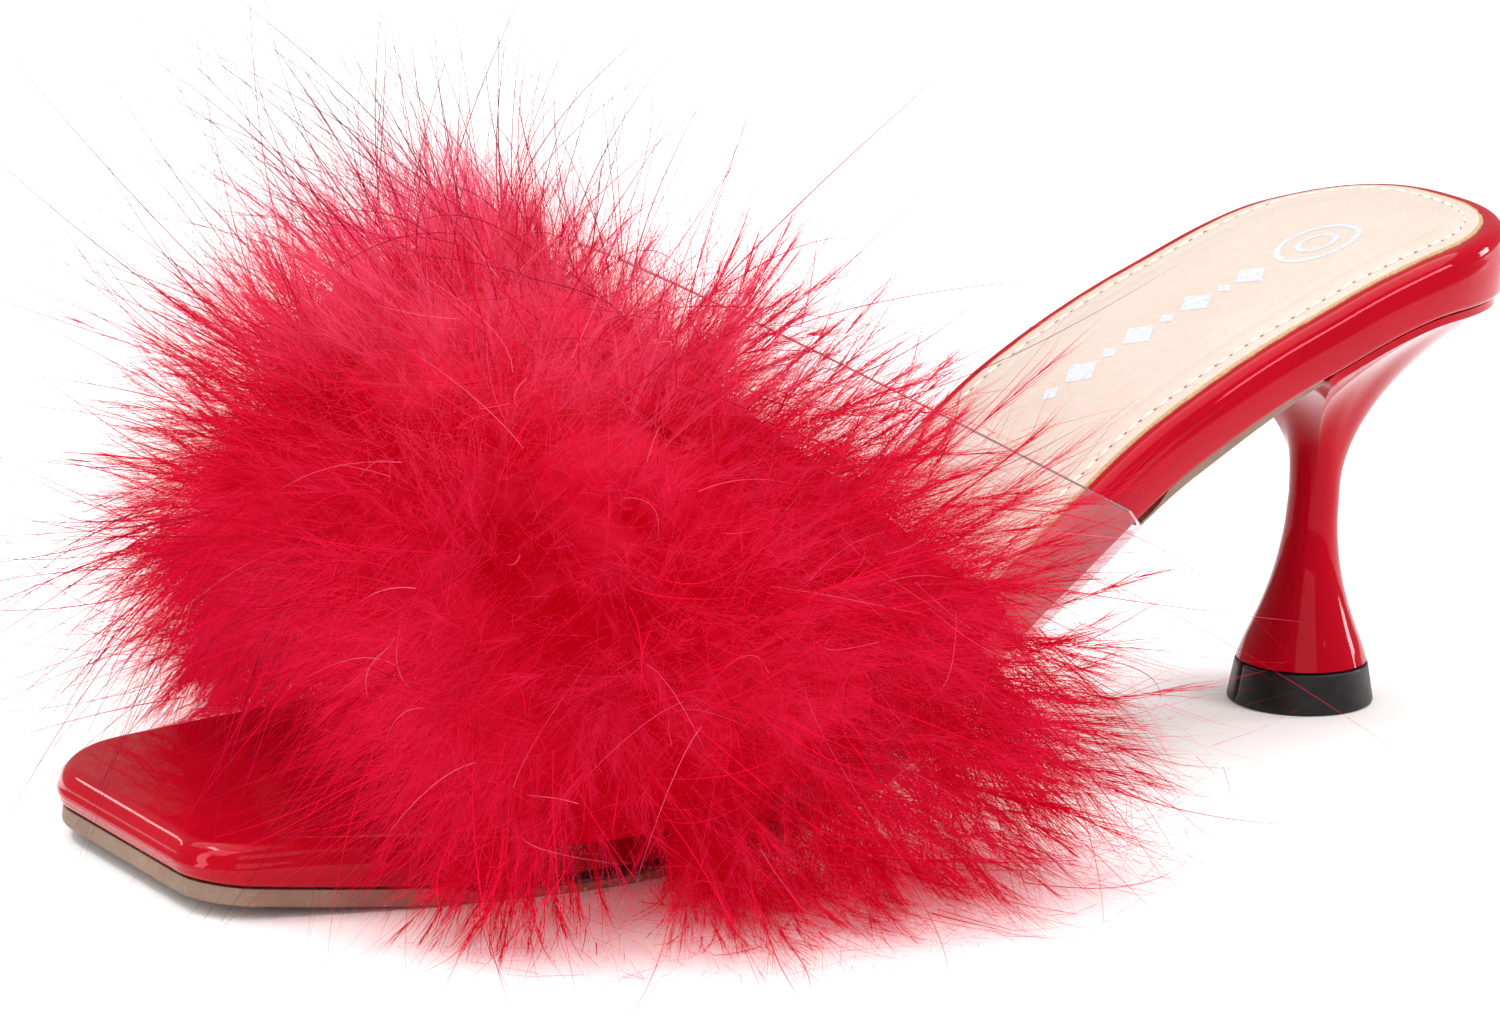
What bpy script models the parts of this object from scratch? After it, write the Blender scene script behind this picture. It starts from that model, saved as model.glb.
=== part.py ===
# A backless, open-toed slipper on a flared kitten heel. Its pieces are the board that the foot
# stands on, a half sock of leather, a thin outsole, a turned heel with its top piece, a clear band
# over the instep and a trimming of marabou down that covers the band.
# Metres, +Z up. The origin is the middle of the heel's tip on the floor, +X runs to the toe and
# +Y to the wearer's left.

import bpy
import numpy as np

# Plan of the board
BOARD_LENGTH = 0.2403
SEAT_OVERHANG = 0.0299
BOARD_REAR_X = -SEAT_OVERHANG
SEAT_WIDTH = 0.0540
WAIST_WIDTH = 0.0522
BALL_WIDTH = 0.0784
TOE_WIDTH = 0.0578
TOE_CORNER_LEFT = 0.0080
TOE_CORNER_RIGHT = 0.0120
SEAT_ROUNDNESS = 2.5

# Side view of the board
SEAT_RISE = 0.0638
TOE_SPRING = 0.0026
SEAT_THICKNESS = 0.0122
FOREPART_THICKNESS = 0.0083
TOE_THICKNESS = 0.0052
BOARD_TOP_ROUND = 0.0024
BOARD_BOTTOM_ROUND = 0.0012

# Outsole, sock and the clearance between pieces
GAP = 0.0003
OUTSOLE_THICKNESS = 0.0027
OUTSOLE_INSET = 0.0008
OUTSOLE_EDGE_ROUND = 0.0006
OUTSOLE_REAR_X = 0.0155
REBATE_RUN_OUT = 0.0040
SOCK_INSET = 0.0034
SOCK_THICKNESS = 0.0009
SOCK_FRONT_SHARE = 0.649
SOCK_FRONT_X = BOARD_REAR_X + BOARD_LENGTH * SOCK_FRONT_SHARE

# Heel and its top piece
TIP_RADIUS = 0.0117
TIP_TOP_RADIUS = 0.0107
TIP_HEIGHT = 0.0066
TIP_EDGE_ROUND = 0.0005
HEEL_BASE_RADIUS = 0.0105
NECK_RADIUS = 0.0041
NECK_HEIGHT = 0.0340
NECK_SETBACK = 0.0012
HEEL_INSET = 0.0006
HEEL_WALL = 0.0012

# Clear band over the instep; its four corners stand at shares of the board's length
BAND_WALL = 0.0010
BAND_MARGIN = 0.0070
BAND_REAR_SHARE = 0.335
BAND_FRONT_SHARE = 0.815
BAND_REAR_CREST_SHARE = 0.670
BAND_FRONT_CREST_SHARE = 0.836
BAND_REAR_CREST_Z = 0.0845
BAND_FRONT_CREST_Z = 0.0490
BAND_SIDE_FULLNESS = 0.0030
BAND_SPRING_HEIGHT = 0.0034
BAND_SIDE_CLEARANCE = 0.0006
BAND_ARCH_POWER = 0.86
BAND_REAR_X = BOARD_REAR_X + BOARD_LENGTH * BAND_REAR_SHARE
BAND_FRONT_X = BOARD_REAR_X + BOARD_LENGTH * BAND_FRONT_SHARE
BAND_REAR_CREST_X = BOARD_REAR_X + BOARD_LENGTH * BAND_REAR_CREST_SHARE
BAND_FRONT_CREST_X = BOARD_REAR_X + BOARD_LENGTH * BAND_FRONT_CREST_SHARE

# Down on the band. The core is the share of the reach between the locks.
DOWN_REACH = 0.0550
DOWN_FLOOR = 0.0030
DOWN_CORE_SHARE = 0.50
DOWN_RIM_SHARE = 0.25
DOWN_REAR_SHARE = 0.17
DOWN_DROOP_SHARE = 0.42
LOCK_MEAN_SHARE = 0.92
LOCK_SPREAD_SHARE = 0.16
LOCK_BEAT_COUNTS = (2.4, 1.7)

# Outline of the board: place along its length, width, and how far its middle lies to the
# wearer's right as a share of the ball's width
OUTLINE = (
    (0.125, SEAT_WIDTH * 1.000, 0.023),
    (0.250, SEAT_WIDTH * 0.992, 0.020),
    (0.375, WAIST_WIDTH * 1.000, 0.017),
    (0.500, BALL_WIDTH * 0.760, 0.000),
    (0.625, BALL_WIDTH * 0.892, -0.003),
    (0.750, BALL_WIDTH * 1.000, -0.001),
    (0.853, BALL_WIDTH * 0.932, 0.000),
    (0.936, TOE_WIDTH * 1.100, 0.001),
    (1.000, TOE_WIDTH * 0.955, 0.001),
)
SEAT_END_SHARE = OUTLINE[0][0]
SEAT_TIP_SHARE = 0.045

# Underside of the board: place along its length, share of the seat's rise, share of the toe spring
PROFILE = (
    (0.000, 1.012, 0.0),
    (0.083, 1.000, 0.0),
    (0.187, 0.878, 0.0),
    (0.291, 0.690, 0.0),
    (0.395, 0.403, 0.0),
    (0.500, 0.158, 0.0),
    (0.580, 0.045, 0.0),
    (0.655, 0.000, 0.0),
    (0.830, 0.000, 0.0),
    (0.900, 0.000, 0.30),
    (1.000, 0.000, 1.0),
)

# Thickness of the board: place along its length and thickness
THICKNESS = (
    (0.000, SEAT_THICKNESS * 1.00),
    (0.125, SEAT_THICKNESS * 0.72),
    (0.375, FOREPART_THICKNESS * 1.06),
    (0.750, FOREPART_THICKNESS * 1.00),
    (0.930, FOREPART_THICKNESS * 0.86),
    (1.000, TOE_THICKNESS * 1.00),
)

# Outsole: place along the board, share of its thickness, and share of its inset at the edge
SOLE_TABLE = (
    (0.189, 0.38, 2.4),
    (0.290, 0.72, 2.4),
    (0.400, 0.74, 2.2),
    (0.540, 1.00, 1.0),
    (1.000, 1.00, 1.0),
)

# Turned shaft of the heel: share of the way from the tip to the neck, and share of the way from
# the neck's radius to the base's radius
SHAFT = (
    (0.00, 1.000),
    (0.09, 0.870),
    (0.21, 0.660),
    (0.34, 0.450),
    (0.48, 0.265),
    (0.64, 0.120),
    (0.82, 0.025),
    (1.00, 0.000),
)
# Reach of the down: share of the way from its rear edge to its toe edge, then shares of the reach at
# the sides of the foot and over the crest, and how far the locks lean to the toe at each
DOWN_TABLE = (
    (0.00, 0.70, 0.34, 0.15, -0.30),
    (0.25, 0.95, 0.72, 0.10, -0.30),
    (0.50, 1.04, 0.94, 0.05, -0.18),
    (0.75, 0.90, 0.92, 0.06, 0.20),
    (1.00, 0.56, 0.64, 0.60, 1.70),
)

# How late the heel flares above its neck: towards the back, the sides and the front
FLARE_BACK_POWER = 1.75
FLARE_SIDE_POWER = 2.4
FLARE_FRONT_POWER = 3.8
NECK_SWEEP_POWER = 1.5

# Where the heel's rings lie: shares of the height up to the neck, and from the neck to the seat
SHAFT_RING_SHARES = (0.0, 0.05, 0.14, 0.25, 0.37, 0.50, 0.64, 0.80)
FLARE_RING_SHARES = (0.0, 0.18, 0.34, 0.48, 0.60, 0.70, 0.79, 0.87, 0.94, 1.0)

# Fineness of the faceted pieces
SEAT_STEPS = 12
SIDE_STEPS = 30
FEWEST_SIDE_STEPS = 4
CORNER_STEPS = 5
EDGE_STEPS = 4
WRAP_STEPS = 3
BREAST_STEPS = 8
SHAFT_SIDES = 36
BAND_ROWS = 12
BAND_COLUMNS = 28
DOWN_ROWS = 22
DOWN_COLUMNS = 44
SHARP_ANGLE = 40
SLOPE_STEP = 0.0005


def curve(rows, column=1):
    """A smooth function through a table's places and one of its columns, without overshoot."""
    place = np.array([row[0] for row in rows])
    value = np.array([row[column] for row in rows])
    step = np.diff(place)
    rise = np.diff(value) / step
    slope = np.empty_like(value)
    slope[0] = rise[0]
    slope[-1] = rise[-1]
    for k in range(1, len(value) - 1):
        if rise[k - 1] * rise[k] <= 0:
            slope[k] = 0.0
        else:
            before = 2 * step[k] + step[k - 1]
            after = step[k] + 2 * step[k - 1]
            slope[k] = (before + after) / (before / rise[k - 1] + after / rise[k])

    def at(where):
        where = np.clip(where, place[0], place[-1])
        k = np.clip(np.searchsorted(place, where) - 1, 0, len(step) - 1)
        t = (where - place[k]) / step[k]
        left = value[k] * (1 + 2 * t) * (1 - t) ** 2 + slope[k] * step[k] * t * (1 - t) ** 2
        right = value[k + 1] * t * t * (3 - 2 * t) + slope[k + 1] * step[k] * t * t * (t - 1)
        return left + right

    return at


width_at = curve(OUTLINE, 1)
shift_at = curve(OUTLINE, 2)
rise_at = curve(PROFILE, 1)
spring_at = curve(PROFILE, 2)
thickness_at = curve(THICKNESS)
shaft_at = curve(SHAFT)
sole_thickness_at = curve(SOLE_TABLE, 1)
sole_inset_at = curve(SOLE_TABLE, 2)


def share(x):
    return (x - BOARD_REAR_X) / BOARD_LENGTH


def underside(x):
    """Height of the board's underside above the floor."""
    lift = SEAT_RISE * rise_at(share(x)) + TOE_SPRING * spring_at(share(x))
    return OUTSOLE_THICKNESS + GAP + lift


def side(x, sign):
    """The board's edge at x on the wearer's left (+1) or right (-1)."""
    return sign * width_at(share(x)) / 2 - BALL_WIDTH * shift_at(share(x))


def lifted(x, y, height):
    """A point at a height measured square to the board's underside."""
    slope = (underside(x + SLOPE_STEP) - underside(x - SLOPE_STEP)) / (2 * SLOPE_STEP)
    length = np.hypot(1.0, slope)
    return np.array((x - height * slope / length, y, underside(x) + height / length))


def half_outline(sign, start=None, end=None):
    """Points of one side of the board's plan, from the back to the toe, as an array."""
    points = []
    seat_x = BOARD_REAR_X + SEAT_END_SHARE * BOARD_LENGTH
    toe_x = BOARD_REAR_X + BOARD_LENGTH
    if start is None:
        tip_y = -BALL_WIDTH * SEAT_TIP_SHARE
        edge_y = side(seat_x, sign)
        for turn in np.linspace(0, np.pi / 2, SEAT_STEPS + 1)[:-1]:
            reach = np.cos(turn) ** (2 / SEAT_ROUNDNESS)
            spread = np.sin(turn) ** (2 / SEAT_ROUNDNESS)
            points.append((seat_x - (seat_x - BOARD_REAR_X) * reach, tip_y + (edge_y - tip_y) * spread))
        start = seat_x
    corner = TOE_CORNER_LEFT if sign > 0 else TOE_CORNER_RIGHT
    last = toe_x - corner if end is None else end
    reach = toe_x if end is None else end
    steps = max(FEWEST_SIDE_STEPS, round(SIDE_STEPS * (reach - start) / BOARD_LENGTH))
    for x in np.linspace(start, last, steps + 1):
        points.append((x, side(x, sign)))
    if end is None:
        corner_y = side(last, sign)
        for turn in np.linspace(0, np.pi / 2, CORNER_STEPS + 1)[1:]:
            lean = (side(toe_x, sign) - corner_y) * np.sin(turn)
            bend = sign * corner * (1 - np.cos(turn))
            points.append((last + corner * np.sin(turn), corner_y + lean - bend))
    return np.array(points)


def inset_half(points, amount, sign, closed_back):
    """The side's points moved in square to the edge, by a number or a function of x."""
    before = np.vstack([points[:1] * (1, -1) if closed_back else points[:1], points[:-1]])
    if closed_back:
        before[0] = (points[1][0], 2 * points[0][1] - points[1][1])
    after = np.vstack([points[1:], points[-1:] - (0, sign * TOE_CORNER_RIGHT)])
    along = after - before
    along /= np.linalg.norm(along, axis=1)[:, None]
    inward = np.stack([along[:, 1], -along[:, 0]], axis=1) * sign
    amounts = amount(points[:, 0]) if callable(amount) else np.full(len(points), amount)
    moved = points + inward * amounts[:, None]
    if closed_back:
        moved[0] = (points[0][0] + amounts[0], points[0][1])
    return moved


def add_object(name, verts, faces, material):
    mesh = bpy.data.meshes.new(name)
    mesh.from_pydata([tuple(float(c) for c in v) for v in verts], [], faces)
    mesh.materials.append(material)
    mesh.shade_smooth()
    mesh.set_sharp_from_angle(angle=np.radians(SHARP_ANGLE))
    thing = bpy.data.objects.new(name, mesh)
    bpy.context.scene.collection.objects.link(thing)
    return thing


def finish_material(name, colour, roughness, alpha=1.0):
    material = bpy.data.materials.new(name)
    material.use_nodes = True
    shader = material.node_tree.nodes["Principled BSDF"]
    shader.inputs["Base Color"].default_value = (*colour, 1.0)
    shader.inputs["Roughness"].default_value = roughness
    shader.inputs["Metallic"].default_value = 0.0
    shader.inputs["Alpha"].default_value = alpha
    material.diffuse_color = (*colour, alpha)
    return material


def layered_solid(name, layers, closed_back, material):
    """A solid of stacked outlines, bottom layer first, each a (left, right) pair of point lists."""
    verts = []
    loops = []
    for left, right in layers:
        first = len(verts)
        count = len(left)
        verts.extend(left)
        ids_left = list(range(first, first + count))
        if closed_back:
            ids_right = [ids_left[0]] + list(range(first + count, first + 2 * count - 1))
            verts.extend(right[1:])
        else:
            ids_right = list(range(first + count, first + 2 * count))
            verts.extend(right)
        loops.append((ids_left, ids_right))
    faces = []
    for (left_a, right_a), (left_b, right_b) in zip(loops, loops[1:]):
        for k in range(len(left_a) - 1):
            faces.append((left_a[k], left_b[k], left_b[k + 1], left_a[k + 1]))
            faces.append((right_a[k], right_a[k + 1], right_b[k + 1], right_b[k]))
        faces.append((left_a[-1], left_b[-1], right_b[-1], right_a[-1]))
        if not closed_back:
            faces.append((left_a[0], right_a[0], right_b[0], left_b[0]))
    for (left, right), top in ((loops[0], False), (loops[-1], True)):
        for k in range(len(left) - 1):
            face = [left[k], right[k], right[k + 1], left[k + 1]]
            if left[k] == right[k]:
                face = face[1:]
            faces.append(tuple(face if top else reversed(face)))
    return add_object(name, verts, faces, material)


def outline_layer(inset, height, start=None, end=None):
    """One closed outline; inset and height are each a number or a function of x."""
    pair = []
    for sign in (1, -1):
        points = inset_half(half_outline(sign, start, end), inset, sign, start is None)
        level = [height(x) if callable(height) else height for x in points[:, 0]]
        pair.append([lifted(x, y, z) for (x, y), z in zip(points, level)])
    return tuple(pair)


def make_board(material):
    turns = np.linspace(0, np.pi / 2, EDGE_STEPS + 1)
    layers = []
    for turn in turns[::2]:
        inset = BOARD_BOTTOM_ROUND * (1 - np.sin(turn))
        layers.append(outline_layer(inset, BOARD_BOTTOM_ROUND * (1 - np.cos(turn))))
    for turn in turns:
        inset = BOARD_TOP_ROUND * (1 - np.cos(turn))
        drop = BOARD_TOP_ROUND * (1 - np.sin(turn))
        layers.append(outline_layer(inset, lambda x, drop=drop: thickness_at(share(x)) - drop))
    return layered_solid("footbed", layers, True, material)


def make_outsole(material):
    def seat_of_band(x):
        """Depth of the rebate that takes the band's turned-in margin."""
        rear = np.clip(2 + (x - BAND_REAR_X) / REBATE_RUN_OUT, 0, 1)
        front = np.clip(2 + (BAND_FRONT_X - x) / REBATE_RUN_OUT, 0, 1)
        return (BAND_WALL + GAP) * min(rear, front)

    def edge(x):
        return OUTSOLE_INSET * sole_inset_at(share(x))

    def bottom(x):
        return -GAP - OUTSOLE_THICKNESS * sole_thickness_at(share(x))

    def face(x):
        return -GAP - seat_of_band(x)

    lip = BAND_MARGIN + GAP
    layers = [
        outline_layer(lambda x: edge(x) + OUTSOLE_EDGE_ROUND, bottom, OUTSOLE_REAR_X),
        outline_layer(edge, lambda x: bottom(x) + OUTSOLE_EDGE_ROUND, OUTSOLE_REAR_X),
        outline_layer(edge, face, OUTSOLE_REAR_X),
        outline_layer(lip, face, OUTSOLE_REAR_X),
        outline_layer(lip + GAP, -GAP, OUTSOLE_REAR_X),
    ]
    return layered_solid("outsole", layers, False, material)


def make_sock(material):
    def top(x):
        return thickness_at(share(x)) + GAP

    edge = SOCK_INSET
    round_off = SOCK_THICKNESS / 3
    layers = [
        outline_layer(edge, top, None, SOCK_FRONT_X),
        outline_layer(edge, lambda x: top(x) + SOCK_THICKNESS - round_off, None, SOCK_FRONT_X),
        outline_layer(edge + round_off, lambda x: top(x) + SOCK_THICKNESS, None, SOCK_FRONT_X),
    ]
    return layered_solid("insole_sock", layers, True, material)


def turned(name, rows, material):
    """A solid turned about the vertical through rows of (radius, height, middle x), bottom first."""
    verts = []
    faces = []
    turns = np.linspace(0, 2 * np.pi, SHAFT_SIDES, endpoint=False)
    for radius, height, middle in rows:
        verts.extend((middle + radius * np.cos(a), radius * np.sin(a), height) for a in turns)
    for row in range(len(rows) - 1):
        for k in range(SHAFT_SIDES):
            after = (k + 1) % SHAFT_SIDES
            low, high = row * SHAFT_SIDES, (row + 1) * SHAFT_SIDES
            faces.append((low + k, low + after, high + after, high + k))
    faces.append(tuple(reversed(range(SHAFT_SIDES))))
    faces.append(tuple(range((len(rows) - 1) * SHAFT_SIDES, len(rows) * SHAFT_SIDES)))
    return add_object(name, verts, faces, material)


def make_tip(material):
    edge = TIP_EDGE_ROUND
    rows = (
        (TIP_RADIUS - edge, 0.0, 0.0),
        (TIP_RADIUS, edge, 0.0),
        (TIP_TOP_RADIUS, TIP_HEIGHT - edge, 0.0),
        (TIP_TOP_RADIUS - edge, TIP_HEIGHT, 0.0),
    )
    return turned("heel_tip", rows, material)


def make_heel(material):
    """The shaft is turned; above its neck it flares out to the plan of the seat."""
    front_x = OUTSOLE_REAR_X - GAP
    pair = []
    for sign in (1, -1):
        points = half_outline(sign, None, front_x)
        points = inset_half(points, HEEL_INSET + BOARD_BOTTOM_ROUND / 2, sign, True)
        points[-1][0] = front_x
        pair.append(points)
    left, right = pair
    front = [left[-1] + (right[-1] - left[-1]) * k / BREAST_STEPS for k in range(1, BREAST_STEPS)]
    ring = np.array(list(left) + front + list(right[:0:-1]))
    centre = np.array((-NECK_SETBACK, 0.0))
    turns = np.arctan2(ring[:, 1] - centre[1], ring[:, 0] - centre[0])
    forward = np.cos(turns)
    lateness = np.where(
        forward > 0,
        FLARE_SIDE_POWER + (FLARE_FRONT_POWER - FLARE_SIDE_POWER) * forward ** 2,
        FLARE_SIDE_POWER + (FLARE_BACK_POWER - FLARE_SIDE_POWER) * forward ** 2,
    )
    seat = np.array([lifted(x, y, -GAP) for x, y in ring])
    rim = np.array([lifted(x, y, -GAP - HEEL_WALL) for x, y in ring])
    around = np.stack([np.cos(turns), np.sin(turns), np.zeros_like(turns)], axis=1)
    neck = NECK_RADIUS * around + (*centre, NECK_HEIGHT)
    rings = []
    base_z = TIP_HEIGHT + GAP
    for place in SHAFT_RING_SHARES:
        radius = NECK_RADIUS + (HEEL_BASE_RADIUS - NECK_RADIUS) * shaft_at(place)
        middle = centre * place ** NECK_SWEEP_POWER
        level = base_z + (NECK_HEIGHT - base_z) * place
        rings.append(radius * around + (*middle, level))
    for height in FLARE_RING_SHARES:
        out = (height ** lateness)[:, None]
        point = neck + (rim - neck) * np.hstack([out, out, np.full_like(out, height)])
        rings.append(point)
    rings.append(seat)
    count = len(ring)
    verts = [tuple(point) for loop in rings for point in loop]
    faces = []
    for row in range(len(rings) - 1):
        low, high = row * count, (row + 1) * count
        for k in range(count):
            after = (k + 1) % count
            faces.append((low + k, high + k, high + after, low + after))
    faces.append(tuple(range(count)))
    top = (len(rings) - 1) * count
    side_count = len(left)
    ids_left = list(range(top, top + side_count))
    ids_right = [top] + [top + count - k for k in range(1, side_count)]
    for k in range(side_count - 2):
        face = [ids_left[k], ids_right[k], ids_right[k + 1], ids_left[k + 1]]
        faces.append(tuple(face[1:] if k == 0 else face))
    last = [ids_left[-2], ids_right[-2], ids_right[-1]]
    last += [top + side_count - 1 + k for k in range(BREAST_STEPS - 1, -1, -1)]
    faces.append(tuple(last))
    return add_object("heel", verts, faces, material)


def band_point(along, across):
    """A point of the band's inner face. along runs from the topline (0) to the toe edge (1) and
    across from 0, where it springs from the board's left side, over the crest to 1."""
    foot_x = BAND_REAR_X + (BAND_FRONT_X - BAND_REAR_X) * along
    crest_x = BAND_REAR_CREST_X + (BAND_FRONT_CREST_X - BAND_REAR_CREST_X) * along
    crest_z = BAND_REAR_CREST_Z + (BAND_FRONT_CREST_Z - BAND_REAR_CREST_Z) * along
    ends = []
    for sign in (1, -1):
        ends.append(lifted(foot_x, side(foot_x, sign) + sign * BAND_SIDE_CLEARANCE, BAND_SPRING_HEIGHT))
    turn = np.pi * across
    rise = np.sin(turn) ** BAND_ARCH_POWER
    swell = BAND_SIDE_FULLNESS * np.sin(2 * turn) * np.sin(turn)
    middle = (ends[0] + ends[1]) / 2
    y = middle[1] + (ends[0][1] - middle[1]) * np.cos(turn) + swell
    x = middle[0] + (crest_x - middle[0]) * rise
    z = middle[2] + (crest_z - middle[2]) * rise
    return np.array((x, y, z))


def band_path(along):
    """Inner face of the band for one row, from margin to margin under the board."""
    foot_x = BAND_REAR_X + (BAND_FRONT_X - BAND_REAR_X) * along
    stops = [(-BAND_MARGIN, -GAP)]
    for turn in np.linspace(0, np.pi / 2, WRAP_STEPS + 1):
        clear = GAP + (BAND_SIDE_CLEARANCE - GAP) * np.sin(turn)
        out = (BOARD_BOTTOM_ROUND + clear) * np.sin(turn) - BOARD_BOTTOM_ROUND
        height = BOARD_BOTTOM_ROUND - (BOARD_BOTTOM_ROUND + clear) * np.cos(turn)
        stops.append((out, height))
    left = [lifted(foot_x, side(foot_x, 1) + out, height) for out, height in stops]
    right = [lifted(foot_x, side(foot_x, -1) - out, height) for out, height in stops]
    arch = [band_point(along, k / BAND_COLUMNS) for k in range(BAND_COLUMNS + 1)]
    return left + arch + right[::-1]


def grid_normals(grid):
    along = np.gradient(grid, axis=0)
    across = np.gradient(grid, axis=1)
    normal = np.cross(across, along)
    return normal / np.linalg.norm(normal, axis=2)[:, :, None]


def shell_from_grids(name, inner, outer, material):
    """A closed skin between two grids of the same size."""
    rows, columns = inner.shape[:2]
    verts = list(inner.reshape(-1, 3)) + list(outer.reshape(-1, 3))
    shift = rows * columns

    def at(row, column, skin):
        return skin * shift + row * columns + column

    faces = []
    for row in range(rows - 1):
        for column in range(columns - 1):
            quad = [(row, column), (row, column + 1), (row + 1, column + 1), (row + 1, column)]
            faces.append(tuple(at(r, c, 0) for r, c in reversed(quad)))
            faces.append(tuple(at(r, c, 1) for r, c in quad))
    border = [(0, c) for c in range(columns)]
    border += [(r, columns - 1) for r in range(1, rows)]
    border += [(rows - 1, c) for c in range(columns - 2, -1, -1)]
    border += [(r, 0) for r in range(rows - 2, 0, -1)]
    for here, after in zip(border, border[1:] + border[:1]):
        faces.append((at(*here, 0), at(*after, 0), at(*after, 1), at(*here, 1)))
    return add_object(name, verts, faces, material)


def make_band(material):
    inner = np.array([band_path(k / BAND_ROWS) for k in range(BAND_ROWS + 1)])
    outer = inner + grid_normals(inner) * BAND_WALL
    return shell_from_grids("vamp", inner, outer, material)


def make_down(material):
    """A thick skin over the band whose outer face is drawn out into pointed locks."""
    inner = []
    for row in range(DOWN_ROWS + 1):
        along = DOWN_REAR_SHARE + (1 - DOWN_REAR_SHARE) * row / DOWN_ROWS
        inner.append([band_point(along, k / DOWN_COLUMNS) for k in range(DOWN_COLUMNS + 1)])
    inner = np.array(inner)
    normal = grid_normals(inner)
    inner += normal * (BAND_WALL + 2 * GAP)
    toeward = np.gradient(inner, axis=0)
    toeward /= np.linalg.norm(toeward, axis=2)[:, :, None]
    reach_side, reach_crest, lean_side, lean_crest = (curve(DOWN_TABLE, k) for k in range(1, 5))
    outer = np.empty_like(inner)
    for row in range(DOWN_ROWS + 1):
        along = row / DOWN_ROWS
        for column in range(DOWN_COLUMNS + 1):
            across = column / DOWN_COLUMNS
            crest = np.sin(np.pi * across) ** 2
            reach = DOWN_REACH * (reach_side(along) * (1 - crest) + reach_crest(along) * crest)
            lean = lean_side(along) * (1 - crest) + lean_crest(along) * crest
            droop = np.array((0.0, 0.0, -DOWN_DROOP_SHARE * (1 - crest) ** 2))
            way = normal[row, column] + toeward[row, column] * lean + droop
            way /= np.linalg.norm(way)
            lock = row % 2 == 1 and column % 2 == 1
            rim = row in (0, DOWN_ROWS) or column in (0, DOWN_COLUMNS)
            if lock:
                beat = np.sin(LOCK_BEAT_COUNTS[0] * row + LOCK_BEAT_COUNTS[1] * column)
                reach *= LOCK_MEAN_SHARE + LOCK_SPREAD_SHARE * beat
            elif rim:
                reach *= DOWN_RIM_SHARE
            else:
                reach *= DOWN_CORE_SHARE
            tip = inner[row, column] + way * reach
            tip[2] = max(tip[2], DOWN_FLOOR)
            outer[row, column] = tip
    return shell_from_grids("marabou", inner, outer, material)


def main():
    for thing in list(bpy.data.objects):
        bpy.data.objects.remove(thing)
    patent = finish_material("red patent", (0.60, 0.006, 0.012), 0.10)
    lacquer = finish_material("red lacquer", (0.60, 0.006, 0.012), 0.08)
    leather = finish_material("nude leather", (0.86, 0.72, 0.60), 0.55)
    rubber = finish_material("tan rubber", (0.33, 0.20, 0.13), 0.70)
    black = finish_material("black rubber", (0.015, 0.015, 0.016), 0.45)
    clear = finish_material("clear film", (0.95, 0.93, 0.93), 0.05, 0.30)
    feather = finish_material("crimson down", (0.70, 0.010, 0.040), 0.85)
    make_board(patent)
    make_outsole(rubber)
    make_sock(leather)
    make_heel(lacquer)
    make_tip(black)
    make_band(clear)
    make_down(feather)


main()
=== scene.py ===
import bpy
import numpy as np
from mathutils import Matrix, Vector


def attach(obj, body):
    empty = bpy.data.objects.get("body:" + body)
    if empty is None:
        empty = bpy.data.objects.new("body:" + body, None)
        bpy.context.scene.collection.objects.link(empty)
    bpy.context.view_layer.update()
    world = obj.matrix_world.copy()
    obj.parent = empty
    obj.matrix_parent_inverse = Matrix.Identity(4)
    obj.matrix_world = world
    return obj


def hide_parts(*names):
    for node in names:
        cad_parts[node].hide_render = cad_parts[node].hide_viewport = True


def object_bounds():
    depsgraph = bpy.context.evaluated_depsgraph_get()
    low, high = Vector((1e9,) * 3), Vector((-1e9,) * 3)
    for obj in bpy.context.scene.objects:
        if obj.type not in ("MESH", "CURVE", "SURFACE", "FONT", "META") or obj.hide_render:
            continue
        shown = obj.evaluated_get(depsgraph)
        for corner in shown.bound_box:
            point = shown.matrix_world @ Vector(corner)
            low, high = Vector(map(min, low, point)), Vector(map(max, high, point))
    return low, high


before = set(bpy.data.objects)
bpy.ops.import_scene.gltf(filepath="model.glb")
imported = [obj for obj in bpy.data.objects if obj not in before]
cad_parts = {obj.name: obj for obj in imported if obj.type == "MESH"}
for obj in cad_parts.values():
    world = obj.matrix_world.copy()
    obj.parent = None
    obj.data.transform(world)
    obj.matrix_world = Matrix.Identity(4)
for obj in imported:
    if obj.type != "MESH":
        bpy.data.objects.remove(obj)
cad_low, cad_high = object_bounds()
chance = np.random.default_rng(41)
UP = np.array((0.0, 0.0, 1.0))

# Sizes of the CAD model, at which the fine pieces are made
BOARD_LENGTH = 0.2403
BOARD_REAR_X = -0.0299
SEAT_WIDTH = 0.0540
WAIST_WIDTH = 0.0522
BALL_WIDTH = 0.0784
TOE_WIDTH = 0.0578
TOE_CORNER = {1: 0.0080, -1: 0.0120}
SEAT_ROUNDNESS = 2.5
SEAT_RISE = 0.0638
TOE_SPRING = 0.0026
SEAT_THICKNESS = 0.0122
FOREPART_THICKNESS = 0.0083
TOE_THICKNESS = 0.0052
BOARD_TOP_ROUND = 0.0024
BOARD_BOTTOM_ROUND = 0.0012
GAP = 0.0003
OUTSOLE_THICKNESS = 0.0027
OUTSOLE_INSET = 0.0008
OUTSOLE_EDGE_ROUND = 0.0006
OUTSOLE_REAR_X = 0.0155
REBATE_RUN_OUT = 0.0040
SOCK_INSET = 0.0034
SOCK_THICKNESS = 0.0009
TIP_RADIUS = 0.0117
TIP_TOP_RADIUS = 0.0107
TIP_HEIGHT = 0.0066
TIP_EDGE_ROUND = 0.0005
HEEL_BASE_RADIUS = 0.0105
NECK_RADIUS = 0.0041
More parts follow.
